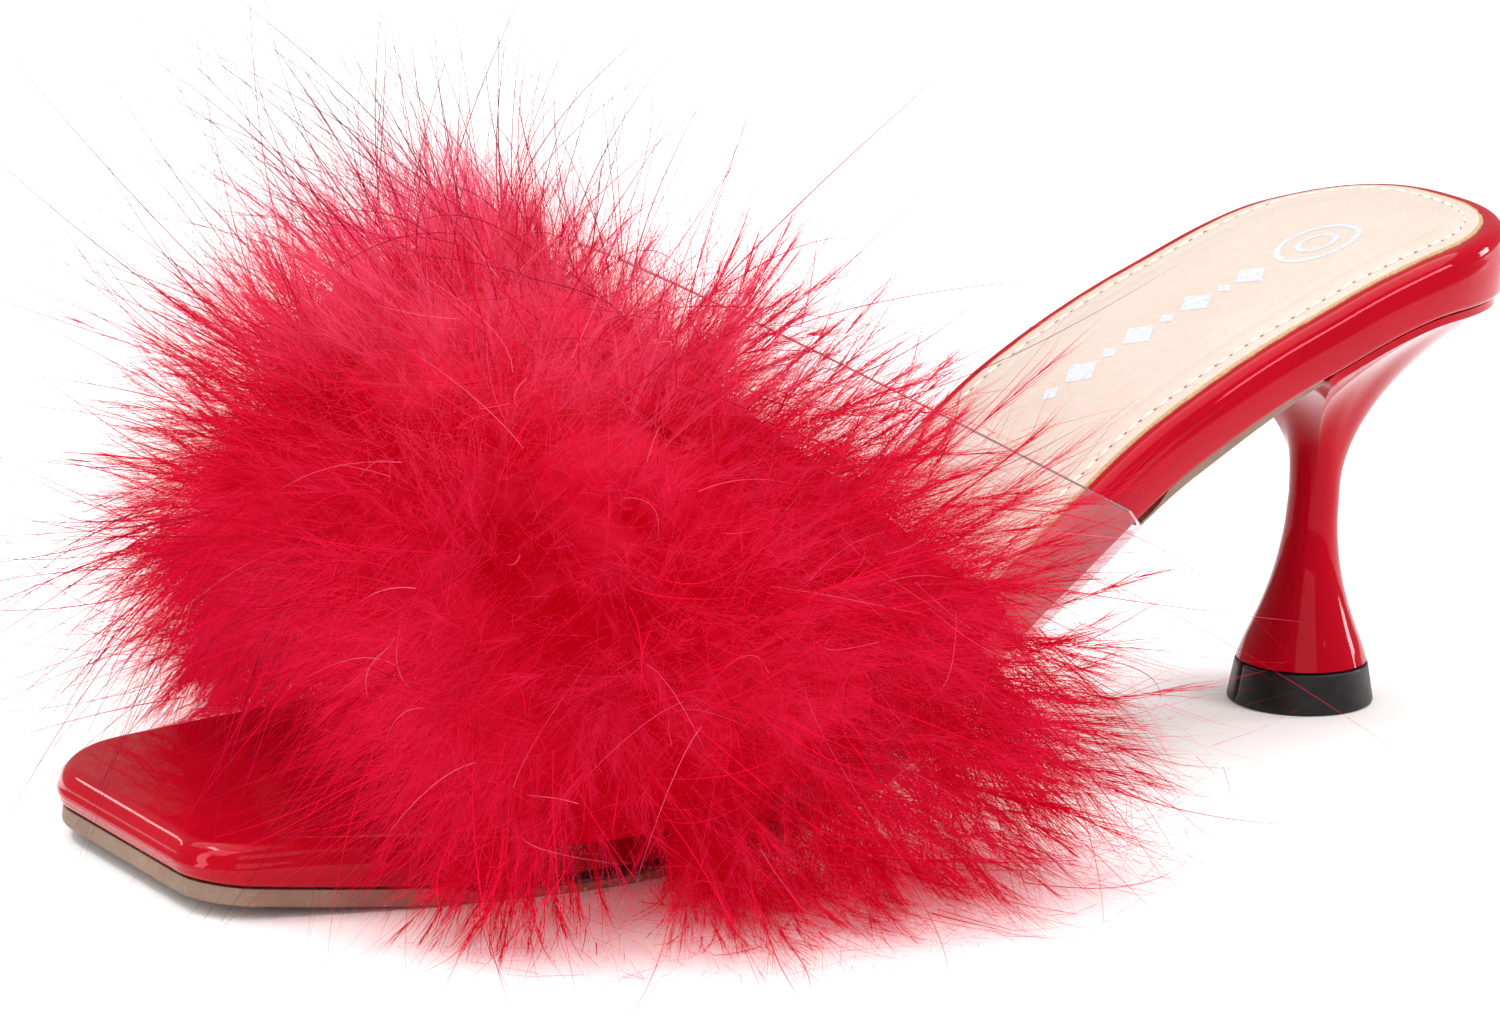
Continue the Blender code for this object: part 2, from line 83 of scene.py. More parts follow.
NECK_HEIGHT = 0.0340
NECK_SETBACK = 0.0012
HEEL_INSET = 0.0006
HEEL_WALL = 0.0012
BAND_WALL = 0.0010
BAND_MARGIN = 0.0070
BAND_REAR_CREST_Z = 0.0845
BAND_FRONT_CREST_Z = 0.0490
BAND_SIDE_FULLNESS = 0.0030
BAND_SPRING_HEIGHT = 0.0034
BAND_SIDE_CLEARANCE = 0.0006
BAND_ARCH_POWER = 0.86
DOWN_REACH = 0.0550
DOWN_REAR_SHARE = 0.17
DOWN_DROOP_SHARE = 0.42


def board_x(share_of_length):
    return BOARD_REAR_X + BOARD_LENGTH * share_of_length


SOCK_FRONT_X = board_x(0.649)
BAND_REAR_X = board_x(0.335)
BAND_FRONT_X = board_x(0.815)
BAND_REAR_CREST_X = board_x(0.670)
BAND_FRONT_CREST_X = board_x(0.836)

OUTLINE = (
    (0.125, SEAT_WIDTH * 1.000, 0.023),
    (0.250, SEAT_WIDTH * 0.992, 0.020),
    (0.375, WAIST_WIDTH * 1.000, 0.017),
    (0.500, BALL_WIDTH * 0.760, 0.000),
    (0.625, BALL_WIDTH * 0.892, -0.003),
    (0.750, BALL_WIDTH * 1.000, -0.001),
    (0.853, BALL_WIDTH * 0.932, 0.000),
    (0.936, TOE_WIDTH * 1.100, 0.001),
    (1.000, TOE_WIDTH * 0.955, 0.001),
)
SEAT_END_SHARE = OUTLINE[0][0]
SEAT_TIP_SHARE = 0.045
PROFILE = (
    (0.000, 1.012, 0.0),
    (0.083, 1.000, 0.0),
    (0.187, 0.878, 0.0),
    (0.291, 0.690, 0.0),
    (0.395, 0.403, 0.0),
    (0.500, 0.158, 0.0),
    (0.580, 0.045, 0.0),
    (0.655, 0.000, 0.0),
    (0.830, 0.000, 0.0),
    (0.900, 0.000, 0.30),
    (1.000, 0.000, 1.0),
)
THICKNESS = (
    (0.000, SEAT_THICKNESS * 1.00),
    (0.125, SEAT_THICKNESS * 0.72),
    (0.375, FOREPART_THICKNESS * 1.06),
    (0.750, FOREPART_THICKNESS * 1.00),
    (0.930, FOREPART_THICKNESS * 0.86),
    (1.000, TOE_THICKNESS * 1.00),
)
SOLE_TABLE = (
    (0.189, 0.38, 2.4),
    (0.290, 0.72, 2.4),
    (0.400, 0.74, 2.2),
    (0.540, 1.00, 1.0),
    (1.000, 1.00, 1.0),
)
SHAFT = (
    (0.00, 1.000),
    (0.09, 0.870),
    (0.21, 0.660),
    (0.34, 0.450),
    (0.48, 0.265),
    (0.64, 0.120),
    (0.82, 0.025),
    (1.00, 0.000),
)
DOWN_TABLE = (
    (0.00, 0.70, 0.34, 0.15, -0.30),
    (0.25, 0.95, 0.72, 0.10, -0.30),
    (0.50, 1.04, 0.94, 0.05, -0.18),
    (0.75, 0.90, 0.92, 0.06, 0.20),
    (1.00, 0.56, 0.64, 0.60, 1.70),
)
FLARE_BACK_POWER = 1.75
FLARE_SIDE_POWER = 2.4
FLARE_FRONT_POWER = 3.8
NECK_SWEEP_POWER = 1.5

# Fineness of the fine pieces
SEAT_STEPS = 44
SIDE_STEPS = 150
CORNER_STEPS = 16
FEWEST_STEPS = 6
SLOPE_STEP = 0.0005
PAST_END = 0.003


def curve(rows, column=1):
    """A smooth function through a table's places and one of its columns, without overshoot."""
    place = np.array([row[0] for row in rows])
    value = np.array([row[column] for row in rows])
    step = np.diff(place)
    rise = np.diff(value) / step
    slope = np.empty_like(value)
    slope[0] = rise[0]
    slope[-1] = rise[-1]
    for k in range(1, len(value) - 1):
        if rise[k - 1] * rise[k] <= 0:
            slope[k] = 0.0
        else:
            before = 2 * step[k] + step[k - 1]
            after = step[k] + 2 * step[k - 1]
            slope[k] = (before + after) / (before / rise[k - 1] + after / rise[k])

    def at(where):
        where = np.clip(where, place[0], place[-1])
        k = np.clip(np.searchsorted(place, where) - 1, 0, len(step) - 1)
        t = (where - place[k]) / step[k]
        left = value[k] * (1 + 2 * t) * (1 - t) ** 2 + slope[k] * step[k] * t * (1 - t) ** 2
        right = value[k + 1] * t * t * (3 - 2 * t) + slope[k + 1] * step[k] * t * t * (t - 1)
        return left + right

    return at


width_at = curve(OUTLINE, 1)
shift_at = curve(OUTLINE, 2)
rise_at = curve(PROFILE, 1)
spring_at = curve(PROFILE, 2)
thickness_at = curve(THICKNESS)
shaft_at = curve(SHAFT)
sole_thickness_at = curve(SOLE_TABLE, 1)
sole_inset_at = curve(SOLE_TABLE, 2)
reach_side, reach_crest, lean_side, lean_crest = (curve(DOWN_TABLE, k) for k in range(1, 5))


def share(x):
    return (x - BOARD_REAR_X) / BOARD_LENGTH


def smooth(value, low, high):
    """0 at low and 1 at high, eased at both ends."""
    t = np.clip((value - low) / (high - low), 0, 1)
    return t * t * (3 - 2 * t)


def unit(vectors):
    return vectors / np.maximum(np.linalg.norm(vectors, axis=-1, keepdims=True), 1e-12)


def quarter_turn(steps):
    """Angles from 0 to a right angle."""
    return np.linspace(0, np.pi / 2, steps + 1)


def rounding(radius, steps):
    """The insets and lifts of a rounded lower edge, from the underside to the side."""
    turns = quarter_turn(steps)
    return list(zip(radius * (1 - np.sin(turns)), radius * (1 - np.cos(turns))))


def full_turn(sides):
    """Angles once round, without the last, which is the first."""
    return np.linspace(0, 2 * np.pi, sides, endpoint=False)


def underside(x):
    return OUTSOLE_THICKNESS + GAP + SEAT_RISE * rise_at(share(x)) + TOE_SPRING * spring_at(share(x))


def slope_at(x, step=SLOPE_STEP):
    return (underside(x + step) - underside(x - step)) / (2 * step)


def board_thickness(x):
    return thickness_at(share(x))


def side(x, sign):
    return sign * width_at(share(x)) / 2 - BALL_WIDTH * shift_at(share(x))


def lifted(x, y, height):
    """Points at a height measured square to the board's underside."""
    slope = slope_at(x)
    length = np.hypot(1.0, slope)
    place = (x - height * slope / length, y, underside(x) + height / length)
    return np.stack(np.broadcast_arrays(*place), axis=-1)


def half_outline(sign, start=None, end=None):
    """One side of the board's outline from above, from the seat's tip or start to the toe or end."""
    points = []
    seat_x = board_x(SEAT_END_SHARE)
    toe_x = board_x(1.0)
    if start is None:
        tip_y = -BALL_WIDTH * SEAT_TIP_SHARE
        edge_y = side(seat_x, sign)
        for turn in quarter_turn(SEAT_STEPS)[:-1]:
            reach = np.cos(turn) ** (2 / SEAT_ROUNDNESS)
            spread = np.sin(turn) ** (2 / SEAT_ROUNDNESS)
            points.append((seat_x - (seat_x - BOARD_REAR_X) * reach, tip_y + (edge_y - tip_y) * spread))
        start = seat_x
    corner = TOE_CORNER[sign]
    last = toe_x - corner if end is None else end
    steps = max(FEWEST_STEPS, round(SIDE_STEPS * ((toe_x if end is None else end) - start) / BOARD_LENGTH))
    for x in np.linspace(start, last, steps + 1):
        points.append((x, side(x, sign)))
    if end is None:
        corner_y = side(last, sign)
        for turn in quarter_turn(CORNER_STEPS)[1:]:
            lean = (side(toe_x, sign) - corner_y) * np.sin(turn)
            bend = sign * corner * (1 - np.cos(turn))
            points.append((last + corner * np.sin(turn), corner_y + lean - bend))
    return np.array(points)


def inset_half(points, amount, sign, closed_back):
    """The points moved in from the edge by an amount, which is a number or a function of x."""
    before = np.vstack([points[:1], points[:-1]])
    if closed_back:
        before[0] = (points[1][0], 2 * points[0][1] - points[1][1])
    after = np.vstack([points[1:], points[-1:] - (0, sign * PAST_END)])
    along = unit(after - before)
    amounts = amount(points[:, 0]) if callable(amount) else np.full(len(points), amount)
    moved = points + np.stack([along[:, 1], -along[:, 0]], axis=1) * sign * amounts[:, None]
    if closed_back:
        moved[0] = (points[0][0] + amounts[0], points[0][1])
    return moved


def outline_layer(inset, height, start=None, end=None):
    """A closed outline at an inset, as its left and right halves; height is a number or a function of x."""
    pair = []
    for sign in (1, -1):
        points = inset_half(half_outline(sign, start, end), inset, sign, start is None)
        level = height(points[:, 0]) if callable(height) else height
        pair.append(lifted(points[:, 0], points[:, 1], level))
    return pair


# Meshes


def add_object(name, data):
    thing = bpy.data.objects.new(name, data)
    bpy.context.scene.collection.objects.link(thing)
    return thing


def add_mesh(name, verts, faces, materials, smooth_angle=45, face_material=None):
    mesh = bpy.data.meshes.new(name)
    mesh.from_pydata(np.asarray(verts, float).tolist(), [], [tuple(int(i) for i in f) for f in faces])
    for material in materials:
        mesh.materials.append(material)
    if face_material is not None:
        mesh.polygons.foreach_set("material_index", np.asarray(face_material, np.int32))
    mesh.shade_smooth()
    mesh.set_sharp_from_angle(angle=np.radians(smooth_angle))
    thing = add_object(name, mesh)
    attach(thing, "root")
    return thing


def add_values(thing, name, kind, values):
    """A value for each of a mesh's points, which its material reads by name."""
    field = "vector" if kind == "FLOAT_VECTOR" else "value"
    made = thing.data.attributes.new(name, kind, "POINT")
    made.data.foreach_set(field, np.asarray(values, np.float32).reshape(-1))


def stack_faces(rows, count, clockwise=False):
    """The faces between stacked rings of count points, from the bottom up."""
    here = np.arange(count)
    after = (here + 1) % count
    faces = []
    for row in range(rows - 1):
        low, high = row * count, (row + 1) * count
        corners = [low + here, low + after, high + after, high + here]
        if clockwise:
            corners = [corners[k] for k in (0, 3, 2, 1)]
        faces.extend(np.stack(corners, axis=1).tolist())
    return faces


def tube_faces(rows, sides):
    """The faces of stacked rings with a cap at each end."""
    here = np.arange(sides)
    return stack_faces(rows, sides) + [here[::-1].tolist(), ((rows - 1) * sides + here).tolist()]


def ring_of(left, right, columns, closed_back):
    """The points once round an outline, with the toe's front edge in steps."""
    t = np.linspace(0, 1, columns + 1)[1:-1, None]
    parts = [left, left[-1] * (1 - t) + right[-1] * t, right[:0:-1] if closed_back else right[::-1]]
    if not closed_back:
        parts.append(right[0] * (1 - t) + left[0] * t)
    return np.vstack(parts)


def layered(name, layers, closed_back, materials, columns=24, wall_rows=0):
    """A solid of stacked outlines, each (left, right). Its two caps are grids with columns across; the
    faces of the first wall_rows rows take the second material."""
    rings = [ring_of(left, right, columns, closed_back) for left, right in layers]
    count = len(rings[0])
    side_count = len(layers[0][0])
    verts = list(np.vstack(rings))
    faces = stack_faces(len(rings), count, clockwise=True)
    for first, (left, right), top in ((0, layers[0], False), ((len(rings) - 1) * count, layers[-1], True)):
        grid = np.zeros((side_count, columns + 1), int)
        grid[:, 0] = first + np.arange(side_count)
        grid[-1, 1:-1] = first + side_count + np.arange(columns - 1)
        grid[::-1, -1] = first + side_count + columns - 1 + np.arange(side_count)
        if closed_back:
            grid[0, :] = first
        else:
            grid[0, 1:-1] = first + count - 1 - np.arange(columns - 1)
        for k in range(1, side_count - 1):
            for c in range(1, columns):
                grid[k, c] = len(verts)
                verts.append(left[k] + (right[k] - left[k]) * c / columns)
        for k in range(side_count - 1):
            for c in range(columns):
                face = [grid[k, c], grid[k, c + 1], grid[k + 1, c + 1], grid[k + 1, c]]
                if face[0] == face[1]:
                    face = face[1:]
                faces.append(face if top else face[::-1])
    slots = [1] * (wall_rows * count) + [0] * (len(faces) - wall_rows * count)
    return add_mesh(name, verts, faces, materials, face_material=slots)


def shell(name, inner, outer, material, closed, smooth_angle):
    """A skin between two grids of the same size; left open, it keeps only the outer one and the rim."""
    rows, columns = inner.shape[:2]
    verts = np.vstack([inner.reshape(-1, 3), outer.reshape(-1, 3)])
    ids = np.arange(rows * columns).reshape(rows, columns)
    quad = np.stack([ids[:-1, :-1], ids[:-1, 1:], ids[1:, 1:], ids[1:, :-1]], axis=-1).reshape(-1, 4)
    faces = (quad + rows * columns).tolist()
    if closed:
        faces += quad[:, ::-1].tolist()
    border = np.concatenate([ids[0, :], ids[1:, -1], ids[-1, -2::-1], ids[-2:0:-1, 0]])
    after = np.roll(border, -1)
    edge = np.stack([border, after, after + rows * columns, border + rows * columns], axis=1).tolist()
    return add_mesh(name, verts, faces + edge, [material], smooth_angle)


def grid_normals(grid):
    return unit(np.cross(np.gradient(grid, axis=1), np.gradient(grid, axis=0)))


# Materials, with noise scales in parts to the metre and bump depths in metres


class Tree:
    """A new material's nodes, made and linked in short calls."""

    def __init__(self, name):
        self.material = bpy.data.materials.new(name)
        self.material.use_nodes = True
        self.nodes = self.material.node_tree.nodes
        self.nodes.clear()
        self.place = self.node("ShaderNodeTexCoord").outputs["Object"]

    def node(self, kind, settings=None, **inputs):
        """A node with its settings; inputs are given by name, or as i and their number."""
        made = self.nodes.new(kind)
        for key, value in (settings or {}).items():
            setattr(made, key, value)
        for key, value in inputs.items():
            numbered = key[0] == "i" and key[1:].isdigit()
            socket = made.inputs[int(key[1:]) if numbered else key.replace("_", " ")]
            if isinstance(value, bpy.types.NodeSocket):
                self.material.node_tree.links.new(value, socket)
            elif isinstance(value, tuple) and len(value) == 3 and socket.type == "RGBA":
                socket.default_value = (*value, 1.0)
            else:
                socket.default_value = value
        return made

    def shader(self, kind, **inputs):
        return self.node("ShaderNode" + kind, **inputs).outputs[0]

    def value(self, name, output="Fac"):
        return self.node("ShaderNodeAttribute", {"attribute_name": name}).outputs[output]

    def noise(self, scale, detail, rough=0.5, place=None):
        place = self.place if place is None else place
        inputs = {"Vector": place, "Scale": scale, "Detail": detail, "Roughness": rough}
        return self.node("ShaderNodeTexNoise", **inputs).outputs["Fac"]

    def stretch(self, place, scale):
        return self.node("ShaderNodeMapping", Vector=place, Scale=scale).outputs[0]

    def ramp(self, value, low, high, to_low=0.0, to_high=1.0):
        inputs = {"i0": value, "i1": low, "i2": high, "i3": to_low, "i4": to_high}
        return self.node("ShaderNodeMapRange", {"clamp": True}, **inputs).outputs[0]

    def blend(self, share_of_second, first, second):
        inputs = {"i0": share_of_second, "i6": first, "i7": second}
        return self.node("ShaderNodeMix", {"data_type": "RGBA"}, **inputs).outputs[2]

    def mottle(self, scale, detail, low, high, first, second):
        """A colour that wanders between two."""
        return self.blend(self.ramp(self.noise(scale, detail), low, high), first, second)

    def math(self, kind, first, second):
        return self.node("ShaderNodeMath", {"operation": kind}, i0=first, i1=second).outputs[0]

    def bump(self, height, strength, depth, onto=None):
        inputs = {"Height": height, "Strength": strength, "Distance": depth}
        if onto is not None:
            inputs["Normal"] = onto
        return self.node("ShaderNodeBump", **inputs).outputs[0]

    def mix(self, share_of_second, first, second):
        return self.shader("MixShader", i0=share_of_second, i1=first, i2=second)

    def finish(self, surface):
        self.node("ShaderNodeOutputMaterial", Surface=surface)
        return self.material

    def principled(self, **inputs):
        return self.finish(self.shader("BsdfPrincipled", **inputs))


def darker(colour, share_left):
    return tuple(c * share_left for c in colour)


def gloss_red(name, waves, density, coat):
    """Patent or lacquer: a saturated red under a clear, slightly uneven coat."""
    tree = Tree(name)
    swell = tree.bump(tree.noise(46.0, 1.0), waves, 0.0008)
    dust = tree.ramp(tree.noise(1500.0, 2.0), 0.66, 0.74, 0.0, 0.10)
    return tree.principled(
        Base_Color=tree.mottle(60.0, 2.0, 0.35, 0.65, RED, darker(RED, 0.90)),
        Roughness=tree.math("ADD", dust, 0.05),
        IOR=density,
        Normal=tree.bump(tree.noise(620.0, 1.0), 0.02, 0.0002, swell),
        Specular_Tint=RED_MIRROR,
        Coat_Weight=coat,
        Coat_Roughness=0.02,
        Coat_Normal=swell,
    )


def sock_leather():
    tree = Tree("nude leather")
    cloudy = tree.mottle(55.0, 4.0, 0.3, 0.7, (0.620, 0.525, 0.460), (0.580, 0.475, 0.400))
    fine = tree.noise(900.0, 3.0)
    to_edge = {"feature": "DISTANCE_TO_EDGE"}
    cells = tree.node("ShaderNodeTexVoronoi", to_edge, Vector=tree.place, Scale=1150.0)
    grain = tree.bump(tree.ramp(cells.outputs["Distance"], 0.0, 0.12), 0.25, 0.00012)
    creases = tree.noise(210.0, 5.0, 0.6, tree.stretch(tree.place, (1.0, 0.45, 1.0)))
    return tree.principled(
        Base_Color=tree.blend(tree.ramp(fine, 0.42, 0.72, 0.0, 0.40), cloudy, (0.55, 0.42, 0.34)),
        Roughness=tree.ramp(fine, 0.3, 0.7, 0.42, 0.58),
        IOR=1.45,
        Normal=tree.bump(creases, 0.45, 0.0006, grain),
        Sheen_Weight=0.15,
        Sheen_Roughness=0.4,
    )


def tan_rubber():
    """Tan rubber, with pale crumbs along its rough lower edge."""
    tree = Tree("tan rubber")
    cloudy = tree.mottle(120.0, 4.0, 0.3, 0.7, (0.275, 0.178, 0.122), (0.200, 0.126, 0.086))
    height = tree.node("ShaderNodeSeparateXYZ", i0=tree.place).outputs[2]
    low = tree.ramp(height, 0.0005, 0.0013, 1.0, 0.12)
    crumbs = tree.math("MULTIPLY", tree.ramp(tree.noise(1100.0, 2.0), 0.60, 0.68), low)
    return tree.principled(
        Base_Color=tree.blend(crumbs, cloudy, (0.62, 0.50, 0.42)),
        Roughness=0.62,
        Normal=tree.bump(tree.noise(800.0, 3.0), 0.35, 0.00025),
    )


def black_rubber():
    tree = Tree("black rubber")
    return tree.principled(
        Base_Color=tree.mottle(300.0, 3.0, 0.3, 0.7, (0.004, 0.004, 0.005), (0.010, 0.009, 0.010)),
        Roughness=tree.ramp(tree.noise(500.0, 2.0), 0.3, 0.7, 0.30, 0.46),
        Specular_IOR_Level=0.30,
        Normal=tree.bump(tree.noise(1200.0, 2.0), 0.15, 0.0002),
    )


def clear_film(name, tint, painted_glow_share, edge):
    """Clear plastic: mostly see-through, mirroring the room more and more at a slant. Where the trimming
    leaves it bare, a painted reflection of the bright room is added to that mirror, and a painted
    pinkish-white glow stands in for lit haze, most of all where it folds under the board."""
    tree = Tree(name)
    ripple = tree.bump(tree.noise(70.0, 2.0), 0.10, 0.0008)
    slant = tree.shader("Fresnel", IOR=FILM_DENSITY, Normal=ripple)
    bare = tree.value("bare")
    # Painted glow: the haze share sets how much of the film is an emission, not a lit layer
    haze = tree.ramp(tree.noise(260.0, 3.0), 0.4, 0.7, painted_glow_share, painted_glow_share * 1.6)
    haze = tree.math("ADD", haze, tree.math("MULTIPLY", tree.value("fold"), 0.55))
    haze = tree.math("MULTIPLY", haze, bare)
    through = tree.shader("BsdfTransparent", Color=tint)
    # Painted glow in the edge colour, standing in for lit haze
    body = tree.shader("Emission", Color=edge, Strength=0.85)
    shine = tree.shader("BsdfGlossy", Color=(1.0, 1.0, 1.0), Roughness=0.04, Normal=ripple)
    # Painted reflection of the bright room, added to the real gloss where the film is bare
    room = tree.shader("Emission", Color=(1.0, 0.90, 0.92), Strength=tree.math("MULTIPLY", bare, 0.55))
    shine_and_painted_room = tree.shader("AddShader", i0=shine, i1=room)
    return tree.finish(tree.mix(slant, tree.mix(haze, through, body), shine_and_painted_room))


def down_material(name, deep, tip, pale, through, glow, combed=False):
    """Down: colour runs along each barb from deep to tip, and light passes partly through. Its colour is
    painted darker low on the mass and lighter high up, and its tips pale towards the top of the mass as
    painted light. The glow is a painted glow that stands for the light that fibres too fine to model pass
    from one to the next. Combed down, for the body of the mass, is streaked by fine noise drawn out along
    the lie of the barbs."""
    tree = Tree(name)
    # Painted shade at random places: the darker patches of this noise stand for shaded hollows between tufts
    tone = tree.math("ADD", tree.value("tone"), tree.ramp(tree.noise(55.0, 1.0), 0.32, 0.68, -0.22, 0.18))
    height = tree.node("ShaderNodeSeparateXYZ", i0=tree.place).outputs[2]
    # Painted light and shade: darker low on the mass, lighter high up
    tone = tree.math("ADD", tone, tree.ramp(height, 0.015, 0.105, -0.14, 0.12))
    relief = {}
    if combed:
        lie = tree.value("lie", "Vector")
        bent = tree.node("ShaderNodeTexNoise", Vector=lie, Scale=70.0, Detail=2.0).outputs["Color"]
        swept = {"i0": bent, "i1": (0.008, 0.008, 0.0), "i2": lie}
        lie = tree.node("ShaderNodeVectorMath", {"operation": "MULTIPLY_ADD"}, **swept).outputs[0]
        streak = tree.noise(1.0, 4.0, 0.62, tree.stretch(lie, (1100.0, 90.0, 1.0)))
        tone = tree.math("ADD", tone, tree.ramp(streak, 0.28, 0.72, -0.16, 0.20))
        relief["Normal"] = tree.bump(streak, 0.4, 0.0010)
    # Painted light: high on the mass the tone rises and the tips blend to the pale colour
    lit = tree.ramp(height, 0.062, 0.112)
    tone = tree.math("ADD", tone, tree.math("MULTIPLY", lit, 0.22))
    colour = tree.blend(tree.ramp(tone, 0.0, 1.0), deep, tree.blend(lit, tip, pale))
    front = tree.shader("BsdfDiffuse", Color=colour, **relief)
    back = tree.shader("BsdfTranslucent", Color=colour)
    # Painted glow: an emission in the down's own colour
    inner = tree.shader("Emission", Color=colour, Strength=1.0)
    return tree.finish(tree.mix(glow, tree.mix(through, front, back), inner))


def plain_thread(name, colour, rough=0.6):
    tree = Tree(name)
    return tree.principled(
        Base_Color=tree.mottle(2600.0, 1.0, 0.4, 0.6, colour, darker(colour, 0.75)),
        Roughness=rough,
        Normal=tree.bump(tree.noise(2600.0, 1.0), 0.3, 0.0001),
    )


def silver_foil():
    """Pressed silver foil, worn where the leather's grain shows through."""
    tree = Tree("silver foil")
    worn = tree.ramp(tree.noise(1400.0, 3.0), 0.58, 0.68)
    return tree.principled(
        Base_Color=tree.blend(worn, (0.68, 0.72, 0.77), (0.58, 0.48, 0.41)),
        Metallic=tree.ramp(worn, 0.0, 1.0, 0.25, 0.0),
        Roughness=0.35,
        Normal=tree.bump(tree.noise(900.0, 2.0), 0.4, 0.0003),
    )


RED = (0.405, 0.0013, 0.0105)
RED_MIRROR = (1.0, 0.20, 0.27)
FILM_DENSITY = 1.42
patent = gloss_red("red patent", 0.10, 1.42, 0.12)
lacquer = gloss_red("red lacquer", 0.05, 1.32, 0.08)
leather = sock_leather()
rubber = tan_rubber()
black = black_rubber()
# The last colour is the film's painted glow, standing in for lit haze
film = clear_film("clear film", (0.97, 0.945, 0.955), 0.07, (0.95, 0.80, 0.83))
barb_red = down_material(
    "crimson down", (0.63, 0.0001, 0.011), (1.00, 0.022, 0.100), (1.00, 0.15, 0.28), 0.5, 0.50)
body_red = down_material(
    "crimson mass", (0.54, 0.0001, 0.009), (0.98, 0.022, 0.090), (0.98, 0.10, 0.20), 0.2, 0.46, True)
barb_haze = down_material(
    "down haze", (0.95, 0.008, 0.055), (0.98, 0.050, 0.140), (1.00, 0.22, 0.36), 0.5, 0.50)
# Painted sheen: paler barbs that stand for barbs catching the light
barb_sheen = down_material(
    "pale barbs", (0.96, 0.060, 0.16), (0.99, 0.30, 0.42), (0.99, 0.34, 0.46), 0.5, 0.30)
guard_dark = down_material(
    "guard hairs", (0.80, 0.004, 0.045), (0.12, 0.006, 0.026), (0.14, 0.008, 0.032), 0.20, 0.03)
thread = plain_thread("cream thread", (0.90, 0.84, 0.72))
foil = silver_foil()
cut_film = plain_thread("cut film", (0.085, 0.035, 0.050), 0.25)
# Painted shade in the pin holes
hole_shade = plain_thread("pin hole", (0.24, 0.15, 0.10))
raw_edge = plain_thread("raw leather edge", (0.55, 0.34, 0.17), 0.8)

# Board, outsole, top piece, heel and sock

SIDE_SWELL = 0.0003
FLAT_RIM = 0.0006
BOTTOM_ROUND_STEPS = 5
WALL_STEPS = 8
TOP_ROUND_STEPS = 10
OUTSOLE_ROUND_STEPS = 3
TIP_SIDES = 160
TIP_ROUND_STEPS = 4
TIP_WALL_STEPS = 5
GROOVE_DEPTH = 0.0005
GROOVE_ANGLE = np.radians(-9.0)
GROOVE_HEIGHT = 0.0015
HEEL_COLUMNS = 30
SHAFT_STEPS = 39
SHAFT_CROWDING = 1.15
FLARE_STEPS = 45
FLARE_CROWDING = 1.35


def make_footbed():
    def wall(x):
        return board_thickness(x) - BOARD_TOP_ROUND - BOARD_BOTTOM_ROUND

    layers = [outline_layer(inset, lift) for inset, lift in rounding(BOARD_BOTTOM_ROUND, BOTTOM_ROUND_STEPS)]
    for part in np.linspace(0, 1, WALL_STEPS + 1)[1:-1]:
        layers.append(outline_layer(
            -SIDE_SWELL * np.sin(np.pi * part), lambda x, part=part: BOARD_BOTTOM_ROUND + wall(x) * part))
    for drop, inset in rounding(BOARD_TOP_ROUND, TOP_ROUND_STEPS):
        layers.append(outline_layer(inset, lambda x, drop=drop: board_thickness(x) - drop))
    layers.append(outline_layer(BOARD_TOP_ROUND + FLAT_RIM, board_thickness))
    return layered("footbed_fine", layers, True, [patent])


def make_outsole():
    def rebated(x):
        rear = np.clip(2 + (x - BAND_REAR_X) / REBATE_RUN_OUT, 0, 1)
        front = np.clip(2 + (BAND_FRONT_X - x) / REBATE_RUN_OUT, 0, 1)
        return -GAP - (BAND_WALL + GAP) * np.minimum(rear, front)

    def edge(x):
        return OUTSOLE_INSET * sole_inset_at(share(x))

    def bottom(x):
        return -GAP - OUTSOLE_THICKNESS * sole_thickness_at(share(x))

    lip = BAND_MARGIN + GAP
    pairs = [(lambda x: edge(x) + OUTSOLE_EDGE_ROUND * 2, bottom)]
    for inset, lift in rounding(OUTSOLE_EDGE_ROUND, OUTSOLE_ROUND_STEPS):
        pairs.append((lambda x, inset=inset: edge(x) + inset, lambda x, lift=lift: bottom(x) + lift))
    pairs += [(edge, rebated), (lip, rebated), (lip + GAP, -GAP)]
    layers = [outline_layer(inset, height, OUTSOLE_REAR_X) for inset, height in pairs]
    return layered("outsole_fine", layers, False, [rubber])


def make_tip():
    """The rubber lift under the heel, with a fine groove up its front."""
    edge = TIP_EDGE_ROUND
    rows = [(TIP_RADIUS - 2 * edge, 0.0)]
    rows += [(TIP_RADIUS - inset, lift) for inset, lift in rounding(edge, TIP_ROUND_STEPS)]
    for level in np.linspace(0, 1, TIP_WALL_STEPS + 1)[1:-1]:
        radius = TIP_RADIUS + (TIP_TOP_RADIUS - TIP_RADIUS) * level
        rows.append((radius, edge + (TIP_HEIGHT - 2 * edge) * level))
    rows += [(TIP_TOP_RADIUS - inset, TIP_HEIGHT - drop) for drop, inset in rounding(edge, TIP_ROUND_STEPS)]
    rows.append((TIP_TOP_RADIUS - 3 * edge, TIP_HEIGHT))
    turns = full_turn(TIP_SIDES)
    away = np.abs((turns - GROOVE_ANGLE + np.pi) % (2 * np.pi) - np.pi)
    groove = GROOVE_DEPTH * (1 - smooth(away, 0.015, 0.05))
    verts = []
    for radius, height in rows:
        around = radius - groove * smooth(height, 0.0, GROOVE_HEIGHT)
        level = np.full(TIP_SIDES, height)
        verts.append(np.stack([around * np.cos(turns), around * np.sin(turns), level], axis=1))
    return add_mesh("heel_tip_fine", np.vstack(verts), tube_faces(len(rows), TIP_SIDES), [black])


